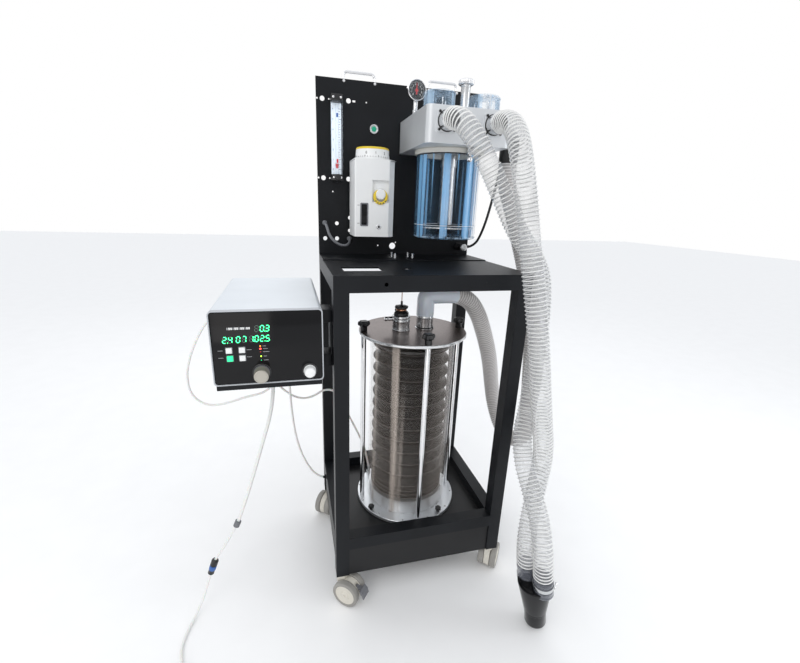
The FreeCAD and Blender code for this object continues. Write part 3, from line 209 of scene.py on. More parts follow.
M = {
    "coat": surface("black_coat", (0.006, 0.007, 0.009), 0.40, grain=1500, bump=0.25, vary=0.2,
                    Specular_IOR_Level=0.22),
    "inner_coat": surface("tray_coat", (0.010, 0.010, 0.011), 0.38, grain=1500, bump=0.25,
                          Specular_IOR_Level=0.3),
    "chrome": surface("chrome", (0.82, 0.82, 0.83), 0.12, 1.0, grain=500, bump=0.02,
                      rough_vary=0.04),
    "steel": surface("steel", (0.66, 0.67, 0.68), 0.26, 1.0, bump=0.006,
                     stretch=(1, 1, 0.1)),
    "cast": surface("cast_silver", (0.72, 0.74, 0.76), 0.38, 0.5, grain=1100, bump=0.12,
                    stretch=(0.25, 0.25, 1), vary=0.06),
    "plate": surface("plate_metal", (0.17, 0.135, 0.125), 0.30, 0.8, bump=0.08,
                     stretch=(0.1, 1, 1), vary=0.1),
    "plate_edge": surface("plate_edge_metal", (0.72, 0.73, 0.74), 0.25, 0.9, bump=0.05),
    "knob_face": surface("knob_metal", (0.45, 0.43, 0.38), 0.35, 0.6, bump=0.05),
    "base": surface("base_metal", (0.64, 0.66, 0.68), 0.33, 0.8, bump=0.08,
                    stretch=(0.15, 1, 1)),
    "black": surface("black_plastic", (0.012, 0.012, 0.013), 0.35, grain=700, bump=0.12, vary=0.2),
    "gloss": surface("gloss_black", (0.004, 0.004, 0.005), 0.12, grain=200, bump=0.01,
                     rough_vary=0.03, Specular_IOR_Level=0.25),
    "rubber": surface("black_rubber", (0.014, 0.013, 0.013), 0.34, grain=500, bump=0.12, vary=0.3),
    "fold": surface("fold_rubber", (0.006, 0.0055, 0.0055), 0.30, grain=60, bump=0.05,
                    vary=0.3, Specular_IOR_Level=0.18),
    # The lighter rim colour for each bellows fold is a painted highlight on the black rubber.
    "crest": surface("crest_painted_highlight", (0.10, 0.09, 0.085), 0.25, grain=200, bump=0.05),
    "grey": surface("grey_plastic", (0.16, 0.165, 0.18), 0.45, bump=0.12),
    "cover": surface("cover_paint", (0.72, 0.76, 0.80), 0.40, grain=1300, bump=0.18, vary=0.02),
    "bezel": surface("bezel_paint", (0.46, 0.48, 0.51), 0.40, grain=1300, bump=0.15),
    "ring": surface("ring_paint", (0.70, 0.69, 0.64), 0.36, bump=0.06, vary=0.03),
    "strip": glow("scale_strip", (0.80, 0.88, 0.96), 0.25),
    "white": surface("white_plastic", (0.83, 0.84, 0.84), 0.32, grain=800, bump=0.06, vary=0.02),
    "elbow": surface("elbow_plastic", (0.74, 0.80, 0.88), 0.16, grain=250, bump=0.03, vary=0.04,
                     Coat_Weight=0.7, Subsurface_Weight=0.1),
    "cream": surface("cream_plastic", (0.66, 0.63, 0.56), 0.42),
    "tyre": surface("tyre_rubber", (0.30, 0.29, 0.27), 0.6, grain=1000, bump=0.2, vary=0.1),
    "yellow": surface("yellow_plastic", (0.80, 0.58, 0.03), 0.38, grain=800, bump=0.08),
    "green": surface("green_plastic", (0.0, 0.36, 0.20), 0.35, grain=800, bump=0.08),
    "blue": surface("blue_plastic", (0.03, 0.12, 0.40), 0.4, grain=800, bump=0.08),
    "red": surface("red_paint", (0.65, 0.02, 0.03), 0.4, grain=800, bump=0.08),
    "ink": surface("black_ink", (0.03, 0.03, 0.03), 0.6, grain=800, bump=0.05),
    "paper": surface("white_ink", (0.85, 0.86, 0.86), 0.55, grain=800, bump=0.05),
    "print": surface("grey_ink", (0.30, 0.31, 0.32), 0.6, grain=800, bump=0.05),
    "copper": surface("copper_wire", (0.42, 0.22, 0.14), 0.3, 1.0, grain=800),
    "tube": surface("white_tube", (0.80, 0.80, 0.78), 0.30, grain=300, bump=0.05, vary=0.03,
                    Subsurface_Weight=0.15),
    "vent": surface("vent_hose_rib", (0.66, 0.64, 0.63), 0.36, grain=400, bump=0.06, vary=0.06),
    # The darker vent hose material paints shade into the valleys between the white ribs.
    "vent_valley_shade": surface("vent_hose_valley_shade", (0.40, 0.385, 0.38), 0.40, grain=400, bump=0.06),
    "rib": surface("hose_rib", (0.78, 0.78, 0.77), 0.28, grain=300, bump=0.05, vary=0.04),
    # In these clear plastics the sixth to eighth arguments set streaks of opacity in the tint that
    # paint reflections: the warm streaks of housing_glass and the blue columns of canister_plastic
    # are painted reflections.
    "hose": clear("hose_wall", (0.52, 0.53, 0.55), 0.16, 0.50, 0.15, 0.15, (25, 25, 25)),
    "glass": clear("housing_glass", (0.80, 0.70, 0.62), 0.0, 0.20, 0.04, 0.30, (30, 30, 0.3),
                   (0.60, 0.66)),
    "cup": clear("canister_plastic", (0.24, 0.56, 0.92), 0.0, 0.20, 0.04, 0.60, (48, 48, 0.5),
                 (0.555, 0.60)),
    "dome": clear("dome_plastic", (0.48, 0.66, 0.84), 0.04, 0.42, 0.05, 0.5, (75, 75, 2)),
    "meter": clear("meter_plastic", (0.72, 0.80, 0.90), 0.0, 0.30, 0.05, 0.06, (150, 150, 2)),
    "smoke": clear("cuff_plastic", (0.16, 0.17, 0.20), 0.55, 0.92, 0.1),
    "pane": clear("gauge_pane", (0.7, 0.75, 0.8), 0.04, 0.3, 0.03),
    "lamp_green": glow("lit_green", (0.05, 1.0, 0.30), 4.0),
    "lamp_key": glow("lit_key", (0.02, 0.75, 0.30), 0.8),
    "lamp_red": glow("lit_red", (1.0, 0.05, 0.04), 4.0),
    "lamp_orange": glow("lit_orange", (1.0, 0.35, 0.02), 2.0),
    "lamp_lime": glow("lit_lime", (0.45, 1.0, 0.05), 2.5),
    "dim": glow("dim_segment", (0.10, 0.14, 0.12), 0.1),
}


# ---------------------------------------------------------------- shapes

def finish_piece(obj, body, replaced=()):
    """Links a piece, and says its body and the CAD nodes it replaces."""
    bpy.context.collection.objects.link(obj)
    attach(obj, body)
    if replaced:
        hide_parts(*replaced)
    return obj


def smooth_piece(name, mesh, angle, body, replaced):
    """A piece from a mesh that is smooth except where its faces meet at more than angle."""
    mesh.polygons.foreach_set("use_smooth", [True] * len(mesh.polygons))
    mesh.set_sharp_from_angle(angle=radians(angle))
    return finish_piece(bpy.data.objects.new(name, mesh), body, replaced)


def solid(name, verts, faces, materials, body="cart", replaced=(), indices=None,
          angle=32):
    """A mesh piece from points in metres, with the given materials in turn."""
    mesh = bpy.data.meshes.new(name)
    mesh.from_pydata([tuple(v) for v in verts], [], faces)
    for key in materials:
        mesh.materials.append(M[key])
    if indices:
        mesh.polygons.foreach_set("material_index", indices)
    mesh.update()
    return smooth_piece(name, mesh, angle, body, replaced)


def eased(profile, ease):
    """The profile with each of its corners rounded by up to ease mm."""
    points = [Vector(p) for p in profile]
    soft = [points[0]]
    for before, corner, after in zip(points, points[1:], points[2:]):
        back, ahead = before - corner, after - corner
        reach = min(ease, back.length * 0.4, ahead.length * 0.4)
        start, end = corner + back.normalized() * reach, corner + ahead.normalized() * reach
        soft += [start, (start + end + 2 * corner) / 4, end]
    return soft + [points[-1]]


def add_wall(faces, indices, rings, steps, bands):
    """Joins each ring of points to the next one; bands are the materials of the runs, in turn."""
    for k in range(rings - 1):
        for i in range(steps):
            j = (i + 1) % steps
            faces.append((k * steps + i, k * steps + j, (k + 1) * steps + j, (k + 1) * steps + i))
            indices.append(bands[k % len(bands)])


def lathe(name, profile, where, axis, material, body="cart", replaced=(), ease=0.8,
          steps=56, lobes=0, lobe_deep=0.0, bands=None, turn=None):
    """A turned piece: profile of (radius, height) in mm from where, along axis.
    bands gives, for each run of the profile, the material's place in the list."""
    materials = material if isinstance(material, list) else [material]
    points = eased(profile, ease) if bands is None else [Vector(p) for p in profile]
    tilt = Z.rotation_difference(axis).to_matrix()
    if turn is not None:
        tilt = turn @ tilt
    verts, faces, indices = [], [], []
    for radius, height in points:
        for i in range(steps):
            angle = tau * i / steps
            wave = lobe_deep * (cos(lobes * angle) - 1) / 2 if radius > 3 * lobe_deep else 0
            reach = max(radius + wave, 0.01)
            local = Vector((reach * cos(angle), reach * sin(angle), height))
            verts.append((Vector(where) + tilt @ local + CART) / 1000)
    add_wall(faces, indices, len(points), steps, bands or [0])
    if (points[0] - points[-1]).length > 0.01:
        last = (len(points) - 1) * steps
        faces.append(tuple(reversed(range(steps))))
        faces.append(tuple(range(last, last + steps)))
        indices += [bands[0] if bands else 0, bands[-1] if bands else 0]
    return solid(name, verts, faces, materials, body, replaced, indices)


def block(name, low, high, material, body="cart", replaced=(), edge=0.6,
          matrix=None, segments=2):
    """A box with rounded edges between two corners in cart mm."""
    shape = bmesh.new()
    bmesh.ops.create_cube(shape, size=1.0)
    low, high = Vector(low), Vector(high)
    size, centre = high - low, (low + high) / 2
    for vert in shape.verts:
        vert.co = Vector((vert.co.x * size.x, vert.co.y * size.y, vert.co.z * size.z)) + centre
    bmesh.ops.bevel(shape, geom=shape.edges[:], offset=min(edge, min(size) * 0.45),
                    segments=segments, affect="EDGES", profile=0.5)
    for vert in shape.verts:
        vert.co = (((matrix @ vert.co) if matrix else vert.co) + CART) / 1000
    mesh = bpy.data.meshes.new(name)
    shape.to_mesh(mesh)
    shape.free()
    mesh.materials.append(M[material])
    return smooth_piece(name, mesh, 40, body, replaced)


def frame_plate(name, outer, steps_in, depth, plane_y, material, replaced=(),
                edge=0.5):
    """A rounded rectangular ring in the x-z plane. outer is (x0, z0, x1, z1), and steps_in
    has four pairs of (distance in from outer, corner radius), from outside to inside."""
    arc = 8
    outlines = []
    for inward, corner in steps_in:
        x0, z0, x1, z1 = (side + inward * sign for side, sign in zip(outer, (1, 1, -1, -1)))
        outline = []
        for cx, cz, first in ((x1 - corner, z1 - corner, 0), (x0 + corner, z1 - corner, 90),
                              (x0 + corner, z0 + corner, 180), (x1 - corner, z0 + corner, 270)):
            for i in range(arc + 1):
                angle = radians(first + 90 * i / arc)
                outline.append((cx + corner * cos(angle), cz + corner * sin(angle)))
        outlines.append(outline)
    rear, lip = plane_y + depth, plane_y + edge
    loops = list(zip([outlines[k] for k in (0, 0, 1, 2, 3, 3)],
                     (rear, lip, plane_y, plane_y, lip, rear)))
    verts = [at(x, y, z) for outline, y in loops for x, z in outline]
    faces = []
    count = len(outlines[0])
    for k in range(len(loops)):
        for i in range(count):
            j = (i + 1) % count
            a, b = k * count, ((k + 1) % len(loops)) * count
            faces.append((a + i, b + i, b + j, a + j))
    return solid(name, verts, faces, [material], "cart", replaced)


def text(name, words, size, where, material, body="cart", tilt=90.0, spin=0.0):
    """Generic figures standing 0.2 mm proud of a face that looks to the front."""
    curve = bpy.data.curves.new(name, "FONT")
    curve.body, curve.size, curve.extrude = words, size / 1000, 0.0002
    curve.align_x, curve.align_y = "CENTER", "CENTER"
    curve.materials.append(M[material])
    obj = bpy.data.objects.new(name, curve)
    obj.location = at(*where)
    obj.rotation_euler = (radians(tilt), 0, radians(spin))
    return finish_piece(obj, body)


# ---------------------------------------------------------------- cords

HOSE_LEFT = [(44, -97, 1252), (46, -140, 1247), (70, -172, 1205), (104, -186, 1147),
             (142, -190, 1083), (182, -190, 1018), (228, -184, 968), (275, -176, 912),
             (292, -172, 835), (293, -178, 740), (285, -192, 640), (268, -212, 560),
             (236, -250, 500), (224, -292, 447), (230, -336, 392), (241, -370, 328),
             (238.95, -402, 260.4), (249.90, -402, 191.25)]
HOSE_RIGHT = [(164, -97, 1252), (163, -142, 1250), (160, -190, 1215), (159, -228, 1150),
              (166, -252, 1070), (178, -266, 985), (193, -278, 900), (207, -290, 815),
              (222, -297, 725), (240, -297, 635), (262, -292, 550), (283, -285, 470),
              (282, -284, 398), (264, -300, 334), (236, -332, 288), (227.06, -352, 233.20),
              (234.10, -352, 188.75)]
VENT_HOSE = [(130, 8, 822), (170, 12, 812), (212, 22, 765), (247, 38, 697), (283, 60, 620),
             (315, 92, 545), (342, 124, 478), (360, 122, 392), (367, 66, 328), (370, -18, 328),
             (368, -76, 390), (360, -86, 480), (353, -82, 600), (347, -74, 700),
             (338, -58, 800), (322, -38, 890), (302, -14, 980), (280, 8, 1065),
             (258, 20, 1130), (258, 20, 1180)]
TUBES = {   # name: diameter, length, far end, material, slot, route
    "gas_line_tube": (7.5, 342, "object", "black", "black_tube",
                      [(226, 66, 1232), (256, 66, 1230), (266, 70, 1194), (264, 82, 1135),
                       (258, 94, 1075), (252, 104, 1025), (246, 122, 980), (243, 148, 952),
                       (230, 160, 944)]),
    "jumper_tube": (7.5, 169, "object", "grey", "black_tube",
                    [(-222, 181.5, 1005), (-222, 151, 1004), (-213, 140, 968),
                     (-185, 136, 944), (-156, 142, 946), (-149, 181.5, 960)]),
    "drive_tube": (9, 413, "connector", "tube", "white_tube",
                   [(-378, -95, 650), (-381, -98, 600), (-392, -101, 540), (-412, -106, 478),
                    (-438, -110, 395), (-465, -115, 312), (-487, -119, 254)]),
    "supply_upper": (6.5, 108, "connector", "tube", "white_tube",
                     [(-494, -120, 238), (-516, -122, 200), (-540, -125, 165),
                      (-552, -127, 147)]),
    "supply_lower": (6.5, 250, "plug", "tube", "white_tube",
                     [(-568, -129, 103), (-580, -132, 66), (-592, -137, 30), (-606, -160, 9),
                      (-622, -205, 4), (-627, -255, 5), (-612, -295, 7)]),
    "monitor_tube": (6.5, 646, "object", "tube", "white_tube",
                     [(-509, 100, 765), (-540, 100, 757), (-572, 100, 715),
                      (-602, 100, 655), (-622, 100, 590), (-618, 100, 525),
                      (-580, 100, 487), (-530, 100, 488), (-470, 100, 506),
                      (-415, 100, 515), (-382, 100, 550), (-372, 100, 600),
                      (-372, 100, 650)]),
    "feed_tube": (6.5, 483, "object", "tube", "white_tube",
                  [(-345, 80, 650), (-345, 88, 600), (-343, 96, 530), (-341, 100, 455),
                   (-335, 100, 380), (-322, 100, 310), (-298, 100, 245), (-272, 100, 205),
                   (-250, 100, 194)]),
    "bellows_tube": (6.5, 627, "object", "tube", "white_tube",
                     [(-400, 112, 650), (-400, 114, 600), (-388, 122, 540), (-356, 129, 500),
                      (-328, 131, 478), (-299, 131, 470), (-268, 131, 478),
                      (-240, 131, 497), (-205, 131, 492), (-182, 131, 452),
                      (-162, 131, 400), (-132, 128, 335), (-106, 114, 275),
                      (-97, 104, 214)]),
}
PLUG_END = (-590, -330, 7.5)


def route_curve(name, points):
    """A smooth open spline that has the route's points as its control points."""
    curve = bpy.data.curves.new(name, "CURVE")
    curve.dimensions, curve.resolution_u = "3D", 12
    spline = curve.splines.new("NURBS")
    spline.points.add(len(points) - 1)
    for control, point in zip(spline.points, points):
        control.co = (*at(*point), 1)
    spline.order_u = 3
    spline.use_endpoint_u = True
    return bpy.data.objects.new(name, curve)


def pipe(name, points, diameter, material, replaced=(), rounds=6):
    """A round tube with closed ends along a route, with its diameter in mm."""
    tube = route_curve(name, points)
    tube.data.bevel_depth, tube.data.bevel_resolution = diameter / 2000, rounds
    tube.data.use_fill_caps = True
    tube.data.materials.append(M[material])
    return finish_piece(tube, "cart", replaced)


def centreline(name, points):
    """The spline's own points, as Blender draws it with no bevel."""
    guide = route_curve(name + "_guide", points)
    bpy.context.collection.objects.link(guide)
    mesh = bpy.data.meshes.new_from_object(guide)
    line = [v.co.copy() for v in mesh.vertices]
    bpy.data.meshes.remove(mesh)
    bpy.data.objects.remove(guide)
    return line


def stations(line, spacing):
    """Points and directions along a line at the given distances from its start."""
    found, walked, target = [], 0.0, 0
    for a, b in zip(line, line[1:]):
        step = (b - a).length
        while target < len(spacing) and walked + step >= spacing[target]:
            share = (spacing[target] - walked) / step
            found.append((a.lerp(b, share), (b - a).normalized()))
            target += 1
        walked += step
    return found


def corrugated(name, points, pitch, ring, materials, bands):
    """A hose whose wall repeats ring, pairs of (share of the pitch, radius), along its line."""
    line = centreline(name, points)
    whole = sum((b - a).length for a, b in zip(line, line[1:]))
    turns = int(whole * 1000 / pitch)
    step = whole / turns
    spacing = [(k + share) * step for k in range(turns) for share, _ in ring]
    radii = [radius / 1000 for _ in range(turns) for _, radius in ring]
    places = stations(line, spacing)
    directions = [d for _, d in places]
    for _ in range(2):
        directions = [(a + b + c).normalized() for a, b, c in
                      zip([directions[0]] + directions[:-1], directions,
                          directions[1:] + [directions[-1]])]
    verts, faces, indices = [], [], []
    steps = 32
    side = directions[0].cross(Vector((0.1, 0.2, 1))).normalized()
    for (centre, _), ahead, radius in zip(places, directions, radii):
        side = (side - ahead * side.dot(ahead)).normalized()
        other = ahead.cross(side)
        verts += [centre + radius * (side * cos(tau * i / steps)
                                     + other * sin(tau * i / steps))
                  for i in range(steps)]
    add_wall(faces, indices, len(places), steps, bands)
    obj = solid(name + "_run", verts, faces, materials, "cart", (name,), indices,
                angle=75)
    return obj, line


def make_hoses(y_pieces):
    clear_ring = [(0.0, 22.6), (0.38, 22.8), (0.44, 24.6), (0.5, 25.0), (0.56, 24.6),
                  (0.62, 22.8)]
    for name, points, length, pieces in (("hose_left", HOSE_LEFT, 1.247, y_pieces["left"]),
                                         ("hose_right", HOSE_RIGHT, 1.180, y_pieces["right"])):
        hose, line = corrugated(name, points, 9.6, clear_ring, ["hose", "rib"],
                                [0, 1, 1, 1, 1, 0])
    white_ring = [(0.0, 23.2), (0.3, 23.9), (0.45, 25.0), (0.6, 25.0), (0.8, 23.9)]
    # The vent hose's valleys take the darker grey of painted shade, and its ribs keep the hose's
    # white.
    hose, line = corrugated("vent_hose", VENT_HOSE, 7.5, white_ring, ["vent_valley_shade", "vent"],
                            [0, 1, 1, 1, 0])


def make_tubes():
    plug_at = Vector(TUBES["supply_lower"][-1][-1])
    links = {
        "drive_tube": lathe("supply_ring", [(4.6, 0), (8, 0.5), (8, 4), (7, 5), (8, 6), (8, 13),
                                            (7, 14), (8, 15), (8, 17), (4.6, 17.5)],
                            TUBES["drive_tube"][-1][-1], Vector((-7, -1, -16)).normalized(),
                            "grey", replaced=("supply_fittings",)),
        "supply_upper": lathe("supply_coupler", [(3.4, 0), (7, 0), (9, 3), (9, 17), (7.6, 17),
                                                 (7.6, 19), (9, 19), (9, 30), (8, 32), (8, 43),
                                                 (3.4, 46)],
                              TUBES["supply_upper"][-1][-1],
                              Vector((-16, -2, -44)).normalized(), ["black", "blue"],
                              bands=[0, 0, 0, 0, 0, 1, 1, 1, 0, 0]),
        "supply_lower": lathe("supply_plug", [(3.3, 0), (6, 2), (6, 26), (4.2, 28), (4.2, 40),
                                              (0.2, 41)],
                              plug_at, (Vector(PLUG_END) - plug_at).normalized(), "black"),
    }
    for name, (diameter, length, far_end, material, slot, points) in TUBES.items():
        tube = pipe(name + "_run", points, diameter, material, (name,))


def make_y_piece():
    """Two ribbed cuffs over a glossy cone, and the screw clamp on the left cuff."""
    turn = Matrix.Rotation(radians(-9), 3, "Y")
    top = Vector((242, -377, 190))
    cuff = [(19, -50), (25, -50), (25, -46), (24.2, -45), (24.2, -37), (25, -36), (25, -32),
            (24.2, -31), (24.2, -12), (25, -11), (25, -6), (24, 0), (19, 0)]
    pieces = {side: [lathe(f"y_cuff_{side}", cuff, top + turn @ Vector(place), Z, "smoke",
                           turn=turn)]
              for side, place in (("left", (8, -25, 0)), ("right", (-8, 25, 0)))}
    lathe("y_cone", [(22, -176), (27.5, -176), (27.5, -138), (29, -136), (29, -131), (30, -129),
          (43, -40), (42, -37), (10, -36), (18, -90), (22, -130)], top, Z, "gloss",
          replaced=("y_piece",), turn=turn)
    clamp_at = top + turn @ Vector((8, -25, -22))
    clamp = lathe("y_clamp", [(25, -5), (26, -5), (26, 5), (25, 5), (25, -5)], clamp_at, Z,
                  "steel", turn=turn, ease=0.2)
    screw = lathe("y_clamp_screw", [(0.1, 0), (4, 0), (4, 5), (2.4, 5.5), (2.4, 15), (3.6, 15.5),
                  (3.6, 18), (0.1, 18.5)], clamp_at + Vector((20, -17, 0)), Vector((0.8, 0.6, 0)),
                  "chrome", ease=0.4)
    pieces["left"] += [clamp, screw]
    return pieces


# ---------------------------------------------------------------- cart and panel

DRESSED = {    # material of the CAD nodes whose shape is right
    "coat": ["cart_frame", "shelf_top", "back_panel"], "inner_coat": ["tray"],
    "chrome": ["panel_handles", "canister_latch"], "grey": ["brake_pedal"],
    "cream": [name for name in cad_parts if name.startswith("caster_fork")],
    "cast": ["absorber_block"], "base": ["bellows_base"], "glass": ["bellows_housing"],
    "cup": ["canister_cup"], "meter": ["flowmeter_tube"],
    "red": ["flowmeter_float", "gauge_needle"],
    "white": ["vaporizer_body", "valve_disc_left", "valve_disc_right"],
    "cover": ["unit_cover"], "rubber": ["bellows_crown"],
}


def make_cart():
    for material, names in DRESSED.items():
        for name in names:
            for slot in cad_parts[name].material_slots:
                slot.link = "OBJECT"
                slot.material = M[material]


def make_panel_fittings():
    for i, (x, y) in enumerate([(-36, 115), (-32, 88), (14, 117), (21, 90)]):
        thread = [(0.1, 0)]
        for k in range(12):
            thread += [(3.5, k * 1.2 + 0.2), (4.0, k * 1.2 + 0.8)]
        thread += [(3.2, 14.8), (0.1, 15)]
        lathe(f"panel_stud_{i}", thread, (x, y, SHELF + 2.5), Z, "chrome", ease=0.1)
    button = (-79, PANEL, SHELF + 353)
    lathe("button_bezel", [(7.8, 0), (13, 0), (13, 3), (12, 6), (9, 6), (7.8, 4.5)], button, -Y,
          "steel", replaced=("panel_fittings",))
    lathe("button_cap", [(0.1, -8), (7.5, -8), (7.5, 4), (6.5, 4.9), (3, 5.2), (0.1, 5.3)],
          button, -Y, "green", "flush_button", replaced=("flush_button",))
    for i, (x, height) in enumerate(((-222, 93), (-149, 48))):
        lathe(f"jumper_fitting_{i}", [(0.1, 0), (7, 0), (7, 5), (5.2, 6), (4.5, 8), (5.2, 10),
              (4.5, 12), (5.2, 14), (4.4, 16), (0.1, 16)], (x, PANEL, SHELF + height), -Y, "grey",
              ease=0.3)
    x, z = 208, SHELF + 29
    lathe("outlet_nut", [(0.1, 0), (14, 0), (14, 6), (0.1, 6)], (x, PANEL, z), -Y, "black",
          steps=6)
    lathe("outlet_body", [(0.1, 5), (11, 5), (11, 12), (9.8, 13), (9.8, 17), (11, 18), (11, 34),
          (9.5, 36), (0.1, 36)], (x, PANEL, z), -Y, "black", lobes=18, lobe_deep=0.5, steps=108)
    lathe("outlet_cap", [(0.1, 36), (11, 36), (11.3, 38), (11.3, 45), (10, 47), (0.1, 47.3)],
          (x, PANEL, z), -Y, "steel")
    lathe("outlet_spout", [(0.1, 0), (5, 0), (5, 12), (5.6, 13), (4.2, 16), (5.0, 18), (4.2, 21),
          (0.1, 22)], (x, 160, z + 3), X, "black")


def make_flowmeter():
    left, right, low, top = -202, -172, 1138, 1320
    for name, z in (("lower", low - 17), ("upper", top)):
        block(f"meter_end_{name}", (left, 157, z), (right, PANEL, z + 17), "black",
              replaced=("flowmeter_ends",) if name == "lower" else (), edge=1.5)
        for i, x in enumerate((left + 5, right - 5)):
            lathe(f"meter_screw_{name}_{i}", [(0.1, 0), (3, 0), (2.8, 1.6), (0.1, 2)],
                  (x, 157, z + 8.5), -Y, "chrome")
    block("meter_scale", (left + 1, 185, low), (right - 1, 187, top), "strip", edge=0.3)
    for i in range(25):
        z = low + 14 + i * 6.4
        wide = 6.5 if i % 4 == 0 else 3.5
        block(f"meter_mark_{i}", (-180, 184.6, z), (-180 + wide, 185, z + 0.9), "ink", edge=0.1,
              segments=1)
    for i in range(7):
        text(f"meter_figure_{i}", str(i), 6.5, (-196, 184.7, low + 14 + i * 25.6), "ink")
    for i, (z, key) in enumerate(((1172, "red"), (1286, "blue"))):
        block(f"meter_band_{i}", (-189.5, 159.4, z - 5), (-184.5, 160, z + 5), key,
              edge=0.15)
    lathe("meter_knob", [(0.1, -14), (3, -14), (3, 0.3), (9, 0.3), (9, 10), (8, 13), (0.1, 13.3)],
          (-187, 157, low - 8.5), -Y, "black", "flowmeter_knob", replaced=("flowmeter_knob",),
          lobes=16, lobe_deep=1.0, steps=128)


def make_vaporizer():
    dial = (-95, 128, 1175)
    lathe("dial_skirt", [(0.1, -18), (6, -18), (6, 0.3), (48, 0.3), (48, 4), (46.8, 7),
          (45, 25.5), (45, 29), (42.5, 31), (20, 31.2), (0.1, 31.3)], dial, Z, ["white",
          "yellow"], "vaporizer_dial", replaced=("vaporizer_dial",), bands=[0, 0, 0, 0, 0, 0, 1,
          1, 0, 0], steps=96)
    for i in range(30):
        angle = radians(i * 9 - 216)
        matrix = (Matrix.Translation(dial) @ Matrix.Rotation(angle, 4, "Z"))
        block(f"dial_mark_{i}", (-0.5, -47.9, 4.5), (0.5, -46.3, 7.5 if i % 5 else 9.5), "ink",
              "vaporizer_dial", edge=0.1, matrix=matrix, segments=1)
    for i in range(6):
        angle = radians(i * 32 - 32)
        x, y = dial[0] + 46.3 * sin(angle), dial[1] - 46.3 * cos(angle)
        text(f"dial_figure_{i}", str(i), 9, (x, y, dial[2] + 15.5), "ink", "vaporizer_dial",
             tilt=84, spin=degrees(angle))
    filler = (-81, 87, 1087)
    lathe("filler_cap", [(0.1, -12), (4, -12), (4, 0.3), (15, 0.3), (15, 11), (13.5, 13),
          (13.5, 15), (12, 16.3), (0.1, 16.3)], filler, -Y, "white", "vaporizer_filler",
          replaced=("vaporizer_filler",), lobes=20, lobe_deep=0.7, steps=120)
    lathe("filler_ring", [(13, 0), (20, 0), (20, 4), (18.5, 5.5), (13, 5.5), (13, 0)],
          (filler[0], 79.5, filler[2] - 6.5), -Y, "yellow", ease=0.5)
    for i in range(5):
        matrix = Matrix.Translation((filler[0], 74.0, filler[2] - 6.5)) @ Matrix.Rotation(
            radians(-50 + 25 * i), 4, "Y")
        block(f"filler_mark_{i}", (-1.8, -0.4, -18.6), (1.8, 0.2, -15.6), "ink", edge=0.15,
              matrix=matrix, segments=1)
    frame_plate("sight_frame", (-136, 1003, -114, 1064), [(0, 3), (0.5, 3), (3, 2), (3.5, 2)],
                2.5, 76.5, "grey")
    block("sight_window", (-133, 77.2, 1006), (-117, 78.6, 1061), "gloss", edge=0.4)
    for i, z in enumerate((1010, 1057)):
        block(f"sight_mark_{i}", (-144, 77.7, z), (-137.5, 78.2, z + 1), "ink", edge=0.1,
              segments=1)
    lathe("drain_socket", [(3, -1), (6.5, -1), (6.5, 1.2), (5.5, 1.8), (3.2, 1.8), (3, 0)],
          (-84, 78, 1002), -Y, "steel", ease=0.3)
    lathe("drain_plug", [(0.1, -2), (3, -2), (3, 0.6), (0.1, 0.8)], (-84, 78, 1002), -Y, "ink",
          steps=6)
    block("vaporizer_seam", (-151.3, 80, 1171.5), (-38.7, 176, 1172.5), "grey", edge=0.2)


# ---------------------------------------------------------------- absorber head

